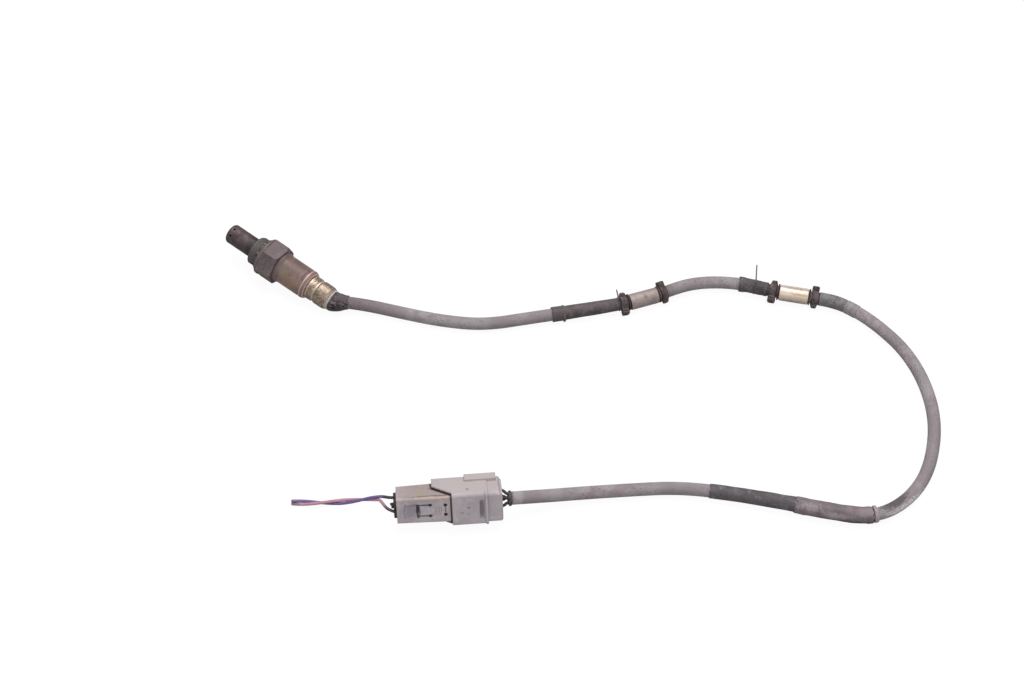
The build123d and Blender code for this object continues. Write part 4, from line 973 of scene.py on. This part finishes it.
for number, (station, slot) in enumerate(FERRULES, 1):
    shape = wall(station - FERRULE_LENGTH / 2, FERRULE_LENGTH, ferrule_outer(40 + number), 4.45,
                 60, 96, 0.12, place=still(station))
    on_the_lead.append(make_mesh("metal_ferrule_%d" % number, [shape], slot,
                                 "ferrule_%d" % number, sharp=50))
on_the_lead.append(make_mesh(
    "rubber_grommets", [wall(station - LINER / 2, LINER, grommet_outer, rows=110, lip=0.2)
                        for station, _ in FERRULES], "grommet_rubber", "grommet_1", "grommet_2"))

# %% [markdown]
# ## Ties
# A tie is a ribbed strap through a locking head, with the cut stump of its tail beside it. The
# head and the stump are superellipsoids: raising the sines and cosines of a sphere's points to
# a small power fills out the corners. The head is pushed in where the strap comes through.

# %% Ties
STRAP_WIDTH = 4.2
TIES = [  # station, angles of the head and of the tail, length and lean of the head
    (172.75, -160.0, 48.0, 4.6, 0.12),
    (197.45, 36.0, -154.0, 4.0, -0.25),
    (265.65, -163.0, 44.0, 4.6, 0.2),
    (290.35, 40.0, -157.0, 4.2, 0.15),
]


def block_on_lead(station, angle, out, half, exponent, seed, lean, window=None):
    """A rounded block placed out from the lead at an angle: x outwards, y round, z along. A
    window is the half sizes and the depth of the recess in its outer face."""
    def power(value):
        return np.sign(value) * np.abs(value) ** exponent

    t = np.linspace(-np.pi / 2, np.pi / 2, 36)[1:-1, None]
    u = angles_round(56)
    x = half[0] * power(np.cos(t)) * power(np.cos(u))
    y = half[1] * power(np.cos(t)) * power(np.sin(u))
    z = half[2] * power(np.sin(t)) * np.ones_like(u)
    if window is not None:
        wide, long, deep = window
        x = x - deep * ((1 - smooth_step(np.abs(y), wide * 0.7, wide))
                        * (1 - smooth_step(np.abs(z), long * 0.7, long))
                        * smooth_step(x, 0.2, 0.8 * half[0]))
    x = x + 0.06 * ripple(np.arctan2(y, x), z, seed, 6, 4, 1.2)
    y = y + lean * x
    middle, side, up, along = lead_at(station)
    ways = np.array([side * np.cos(angle) + up * np.sin(angle),
                     up * np.cos(angle) - side * np.sin(angle), along])
    return shell(middle + np.stack([x + out, y, z], -1) @ ways * MM)


def strap_outer(seed):
    """Strap with a raised rib at each edge and fine teeth round it."""
    def outer(s, angle):
        off = np.abs(s - STRAP_WIDTH / 2) / (STRAP_WIDTH / 2)
        teeth = 0.05 * np.sin(angle * 40) * (1 - smooth_step(off, 0.45, 0.6))
        return (4.85 + 0.14 * bell(off, 0.78, 0.12) + teeth
                + 0.08 * ripple(angle, s, seed, 8, 5, 0.3))
    return outer


ties = []
for number, (station, head_at, tail_at, head_long, lean) in enumerate(TIES, 1):
    ties.append(wall(station - STRAP_WIDTH / 2, STRAP_WIDTH, strap_outer(50 + number), 3.7, 36,
                     160, 0.4, place=still(station)))
    ties.append(block_on_lead(station, radians(head_at), 5.45, (1.7, 2.8, head_long / 2), 0.42,
                              60 + number, lean, (1.7, 1.2, 0.7)))
    ties.append(block_on_lead(station, radians(tail_at), 4.85, (1.35, 2.1, 1.68), 0.5,
                              70 + number, -lean))
on_the_lead += [make_mesh("tie_pair_1", ties[:6], "tie_brown", "tie_1", "tie_2"),
                make_mesh("tie_pair_2", ties[6:], "tie_brown", "tie_3", "tie_4")]

# %% [markdown]
# ## Thin wires
# A thin wire is a circle carried along any line. So that it doesn't spin, its two directions
# are handed on from step to step and turned only as far as the line bends.

# %% Carried circles and lock wires


def carried_axes(line):
    """Two directions across a line that never spin round it."""
    along = unit(np.gradient(line, axis=0))
    first = unit(np.cross((0, 0, 1) if abs(along[0, 2]) < 0.9 else (1, 0, 0), along[0]))
    side = np.zeros_like(line)
    for i, direction in enumerate(along):
        first = unit(first - direction * np.dot(first, direction))
        side[i] = first
    return side, np.cross(along, side)


def round_wire(line, radius, columns, seed=0, rough=0.0):
    """Closed wire round a line in metres, rounded at both ends."""
    side, up = (row[:, None] for row in carried_axes(line))
    angle = angles_round(columns)
    s = walked_along(line)[:, None]
    near = np.clip(np.minimum(s, s[-1] - s) / (0.25 * radius), 0, 1)
    reach = radius * (0.86 + 0.14 * np.sqrt(1 - (1 - near) ** 2))
    reach = reach + rough * ripple(angle, s, seed, 8, 4, 0.8)
    return shell(circle(line[:, None], side, up, angle, reach), uv=(angle / FULL_TURN, s))


LOCK_WIRE_R = 0.42
LOCK_WIRES = [  # station, radius, height, lean in degrees
    (169.8, 3.75, 10.8, -10.0), (254.7, 4.1, 16.5, -1.0)]
twists = []
for station, radius, height, lean in LOCK_WIRES:
    turn = np.linspace(-1.5 * np.pi, 0.5 * np.pi, 90)
    loop = on_lead(station + 0.35 * turn / FULL_TURN, turn, np.full(90, radius))
    _, side, up, along = lead_at(station)
    rise = np.linspace(0, height, 40)[1:, None]
    bend = side * 0.35 * np.sin(rise / height * 5.0)
    spike = loop[-1] + ((up + np.tan(radians(lean)) * along) * rise + bend) * MM
    twists.append(round_wire(np.vstack([loop, spike]), LOCK_WIRE_R, 12))
on_the_lead.append(make_mesh("lock_twists", twists, "lock_wire", "lock_wire_1", "lock_wire_2"))

# %% [markdown]
# ## The flared sleeve end
# The sleeve's scorched end flares to a mouth as wide as the probe's rear. Each ring of this boot
# is part of the way from there to the lead, and its edge is torn, most of all underneath.

# %% Frayed boot
BOOT_LENGTH = 8.0
BOOT_ROWS, BOOT_COLUMNS = 64, 120
mouth = in_frame(probe_frame, [(57.02, 0, 0)])[0]
probe_turn = np.array(probe_frame)[:3, :3] / MM


def boot_ring(t, angle, radius):
    """Rings between the probe's rear (t = 0) and the lead (t = 1)."""
    share = smooth_step(t, 0.0, 0.55)[..., None]
    middle, side, up, _ = lead_at(BOOT_LENGTH * t)
    side = unit(side * share + probe_turn[:, 1] * (1 - share))
    up = unit(up * share + probe_turn[:, 2] * (1 - share))
    straight = mouth + probe_turn[:, 0] * (t * (BOOT_LENGTH + 2.6) * MM)[..., None]
    return circle(middle * share + straight * (1 - share), side, up, angle, radius)


t = np.linspace(0, 1, BOOT_ROWS)[:, None]
angle = angles_round(BOOT_COLUMNS)
low_side = facing(angle, radians(250))
walk = t * (1.0 - 0.3 * (0.5 + 0.5 * ripple(angle, 0.0, 81, 9, 9)) * (0.5 + 0.5 * low_side))
crumple = (0.42 * ripple(angle, walk * 9, 82, 10, 6, 0.6) * (0.3 + low_side)
           + 0.2 * ripple(angle, walk * 9, 83, 9, 18, 1.6))
outer = (6.3 - 2.1 * smooth_step(walk, 0.02, 0.75) + crumple * smooth_step(walk, 0.0, 0.15)
         + 0.5 * low_side * bell(walk, 0.55, 0.2))
both_ways = np.vstack([walk, walk[::-1]])
boot = shell(boot_ring(both_ways, angle, np.vstack([outer, np.maximum(outer[::-1] - 0.55, 3.5)])),
             closed_rows=True, uv=(angle / FULL_TURN, both_ways * BOOT_LENGTH))
on_the_lead.append(make_mesh("frayed_end", [boot], "boot_dark", "frayed_boot"))

# %% [markdown]
# ## Wires at the plug
# Four wires show between the sleeve and the plug, and two cut ones behind it. The blue and the
# red wire come together and are twisted round each other: both follow one middle line, and
# each stands off it in a direction that turns once in 48 mm, measured from the cut ends.

# %% Twisted pair
WIRE_R = 0.85
WAY_Y, WAY_Z = 2.8, 3.2
PAIR_MIDDLE = [(150.2, -94.4, 11.4), (146.6, -96.1, 10.0), (142.3, -98.4, 8.2),
               (135.4, -102.4, 5.4), (128.2, -106.8, 3.1), (119.0, -113.0, 1.8),
               (107.3, -120.8, 1.78)]
TWIST_LENGTH = 48.0
STRAND_R, STRAND_OFF = 0.16, 0.34
UPPERMOST = radians(143)


def twisted(y, z, phase):
    """One wire: its own way out of the plug, then a helix round the pair's middle line."""
    out = in_frame(plug_frame, [(-25.0, y, z), (-33.4, y, z)])
    line = Line(nurbs_line([*out, *on_table(PAIR_MIDDLE)]))
    s = np.linspace(0, line.length, 260)
    side, up, _ = line.axes(s)
    turn = phase + FULL_TURN * (line.length - s - 4.0) / TWIST_LENGTH
    return circle(line.place(s), side, up, turn, (WIRE_R + 0.04) * smooth_step(s, 6.0, 15.0))


pair, cores = [], []
for colour, y, z, phase in (("blue", WAY_Y, WAY_Z, UPPERMOST),
                            ("red", -WAY_Y, -WAY_Z, UPPERMOST + np.pi)):
    line = twisted(y, z, phase)
    pair.append((line, make_mesh(colour + "_wire", [round_wire(line, WIRE_R, 24, 95, 0.015)],
                                 "wire_" + colour, "pigtail_" + colour)))
    print("%s wire length (mm): %.1f" % (colour, walked_along(line)[-1]))
    side, up = (row[-1] for row in carried_axes(line))
    out = unit(line[-1] - line[-2]) * MM
    around = angles_round(6)[0]
    for tip in [*circle(line[-1], side, up, around, np.full(6, STRAND_OFF)), line[-1]]:
        cores.append(round_wire(np.array([tip - out * 0.3, tip, tip + out * 0.22]), STRAND_R, 8))
cut_cores = make_mesh("cut_cores", cores, "pin_brass", finish="cut_copper")

# %% Short dark wires
SLEEVE_WAY = 1.55
side, up, along = lead.axes(lead.length)
dark_wires = []
for y in (-1, 1):
    for z in (1, -1):
        start = [(x, y * WAY_Y, z * WAY_Z) for x in (21.0, 26.5, 28.3)]
        centre = lead.place(lead.length) + (z * up - y * side) * SLEEVE_WAY * MM
        stop = [centre + along * reach * MM for reach in (1.0, -2.0)]
        line = nurbs_line([*in_frame(plug_frame, start), *stop])
        dark_wires.append(round_wire(line, WIRE_R, 16, 90, 0.02))
for y, z, long in ((-WAY_Y, WAY_Z, 3.3), (WAY_Y, -WAY_Z, 2.9)):
    x = np.linspace(-25.0, -30.0 - long, 14)
    sag = 0.05 * (x + 25.0) ** 2 / 10 * np.sign(z)
    line = in_frame(plug_frame, np.stack([x, np.full_like(x, y), z - sag], -1))
    dark_wires.append(round_wire(line, WIRE_R, 20, 96, 0.03))
black_wires = make_mesh("black_wires", dark_wires, "wire_black", "plug_wires", "cut_stubs")

# %% [markdown]
# ## The threaded housing
# The frame's housing has a plain cylinder for its thread. Here it is one surface r(s, angle):
# a helix R - d |2 frac(s / pitch - angle / turn) - 1|, a collar, and on the hexagon the
# distance to a flat, R / cos, cut by a cone.

# %% Housing
PITCH = 1.5
HEX_FLAT, HEX_ROUND = 11.0, 12.62
GROOVE_R = 8.22
HEX_FIRST_CORNER = radians(52.0)
THREAD_END, COLLAR_START, HEX_START, HEX_END = 5.2, 6.7, 9.2, 19.5
SIXTH = np.pi / 3
REAR_AND_BORE = np.array([[HEX_END, 9.4], [HEX_END, 8.25], [23.4, 8.2], [23.4, 5.6], [0.45, 5.6],
                          [0.0, 6.3]])


def housing_radius(s, angle):
    """Outer radius of the housing in millimetres at station s and an angle about its axis."""
    phase = (s / PITCH - angle / FULL_TURN) % 1.0
    crest = np.clip(1.25 * np.abs(2 * phase - 1), 0.08, 1)
    thread = 9.0 - 0.6 * (1 - crest) - 0.8 * (1 - smooth_step(s, 0, 0.9)) - 0.25 * smooth_step(
        s, 4.6, THREAD_END)
    collar = 11.7 - 1.1 * (1 - smooth_step(s, COLLAR_START, 7.75)) - 0.25 * smooth_step(
        s, 9.0, HEX_START)
    off_corner = (angle - HEX_FIRST_CORNER + SIXTH / 2) % SIXTH - SIXTH / 2
    to_flat = HEX_FLAT / np.cos(SIXTH / 2 - np.abs(off_corner))
    cone = HEX_FLAT + 0.05 + (HEX_END - s) * 1.75
    hexagon = np.minimum(np.minimum(to_flat, HEX_ROUND), cone)
    radius = np.select([s <= THREAD_END, s < COLLAR_START, s <= HEX_START],
                       [thread, GROOVE_R, collar], hexagon)
    return radius + 0.03 * ripple(angle, s, 120, 9, 8, 0.7) * (s > COLLAR_START)


s = np.unique(np.concatenate([
    np.linspace(0, THREAD_END, 90), [5.21, 6.69], np.linspace(COLLAR_START, HEX_START, 26),
    np.linspace(HEX_START, 10.2, 14), np.linspace(10.2, 18.4, 12),
    np.linspace(18.4, HEX_END, 16)]))[:, None]
angle = angles_round(240)
s_grid, r_grid, angle = np.broadcast_arrays(
    np.vstack([s, REAR_AND_BORE[:, :1]]),
    np.vstack([housing_radius(s, angle), REAR_AND_BORE[:, 1:] * np.ones_like(angle)]), angle)
places = in_frame(probe_frame, np.stack(
    [s_grid, r_grid * np.cos(angle), r_grid * np.sin(angle)], -1))
make_mesh("threaded_housing", [shell(places, closed_rows=True,
                                     uv=(angle / FULL_TURN, s_grid))],
          "housing_steel", "hex_housing", sharp=38)

# %% [markdown]
# ## The lead, read along its length
# The lead runs from the probe to the plug, and everything on it goes with it. The two harness
# wires start inside the plug and are cut bare. Below, the lead is read at 700 places, which
# nothing uses.


lead.place(np.linspace(0, lead.length, 700))

# %% [markdown]
# ## Floor and light
# The floor glows white to the camera and keeps a faint shadow. A wide soft lamp hangs above, a
# smaller one fills from the viewer's side, and metal mirrors a world that is paler above.

# %% Stage
FLOOR_HALF = 6.0
FLOOR_LEVEL = -1e-4
WHITE = (1, 1, 1, 1)
MIDDLE = (0.18, 0.04, 0.0)


def emptied(owner):
    """The emptied node tree of a material or world, and its Shade of what the camera sees."""
    owner.use_nodes = True
    owner.node_tree.nodes.clear()
    return owner.node_tree, Shade(add(owner.node_tree, "LightPath"), "Is Camera Ray")


def floor_material():
    material = bpy.data.materials.new("pale floor")
    tree, seen = emptied(material)
    diffuse, faint = (Shade(add(tree, "BsdfDiffuse", {"Color": (*grey, 1)}))
                      for grey in ((0.42, 0.42, 0.42), (0.09, 0.09, 0.092)))
    glow = Shade(add(tree, "Emission", {"Color": WHITE, "Strength": 0.93}))
    white = Shade(add(tree, "AddShader", {0: faint, 1: glow}))
    add(tree, "OutputMaterial", {
        0: Shade(add(tree, "MixShader", {0: seen, 1: diffuse, 2: white}))})
    return material


def soft_lamp(name, place, size, watts):
    """A square lamp that shines towards the middle."""
    data = bpy.data.lights.new(name, "AREA")
    data.shape = "SQUARE"
    data.size = size
    data.energy = watts
    new_object(name, data, place, MIDDLE)


floor_mesh = bpy.data.meshes.new("floor")
floor_mesh.from_pydata([(x * FLOOR_HALF, y * FLOOR_HALF, FLOOR_LEVEL) for x, y in (
    (-1, -1), (1, -1), (1, 1), (-1, 1))], [], [(0, 1, 2, 3)])
floor_mesh.materials.append(floor_material())
new_object("floor", floor_mesh)
scene.world = bpy.data.worlds.new("studio")
tree, seen = emptied(scene.world)
height = Shade(add(tree, "TexCoord"), "Generated").parts()[2]
strength = mix(seen, height.ranged(-0.1, 0.9, 0.3, 0.78), 1.0)
add(tree, "OutputWorld", {
    0: Shade(add(tree, "Background", {"Color": WHITE, "Strength": strength}))})
soft_lamp("key_lamp", (-0.05, 0.55, 1.4), 1.1, 15.0)
soft_lamp("fill_lamp", (0.9, -0.9, 0.9), 0.9, 2.8)
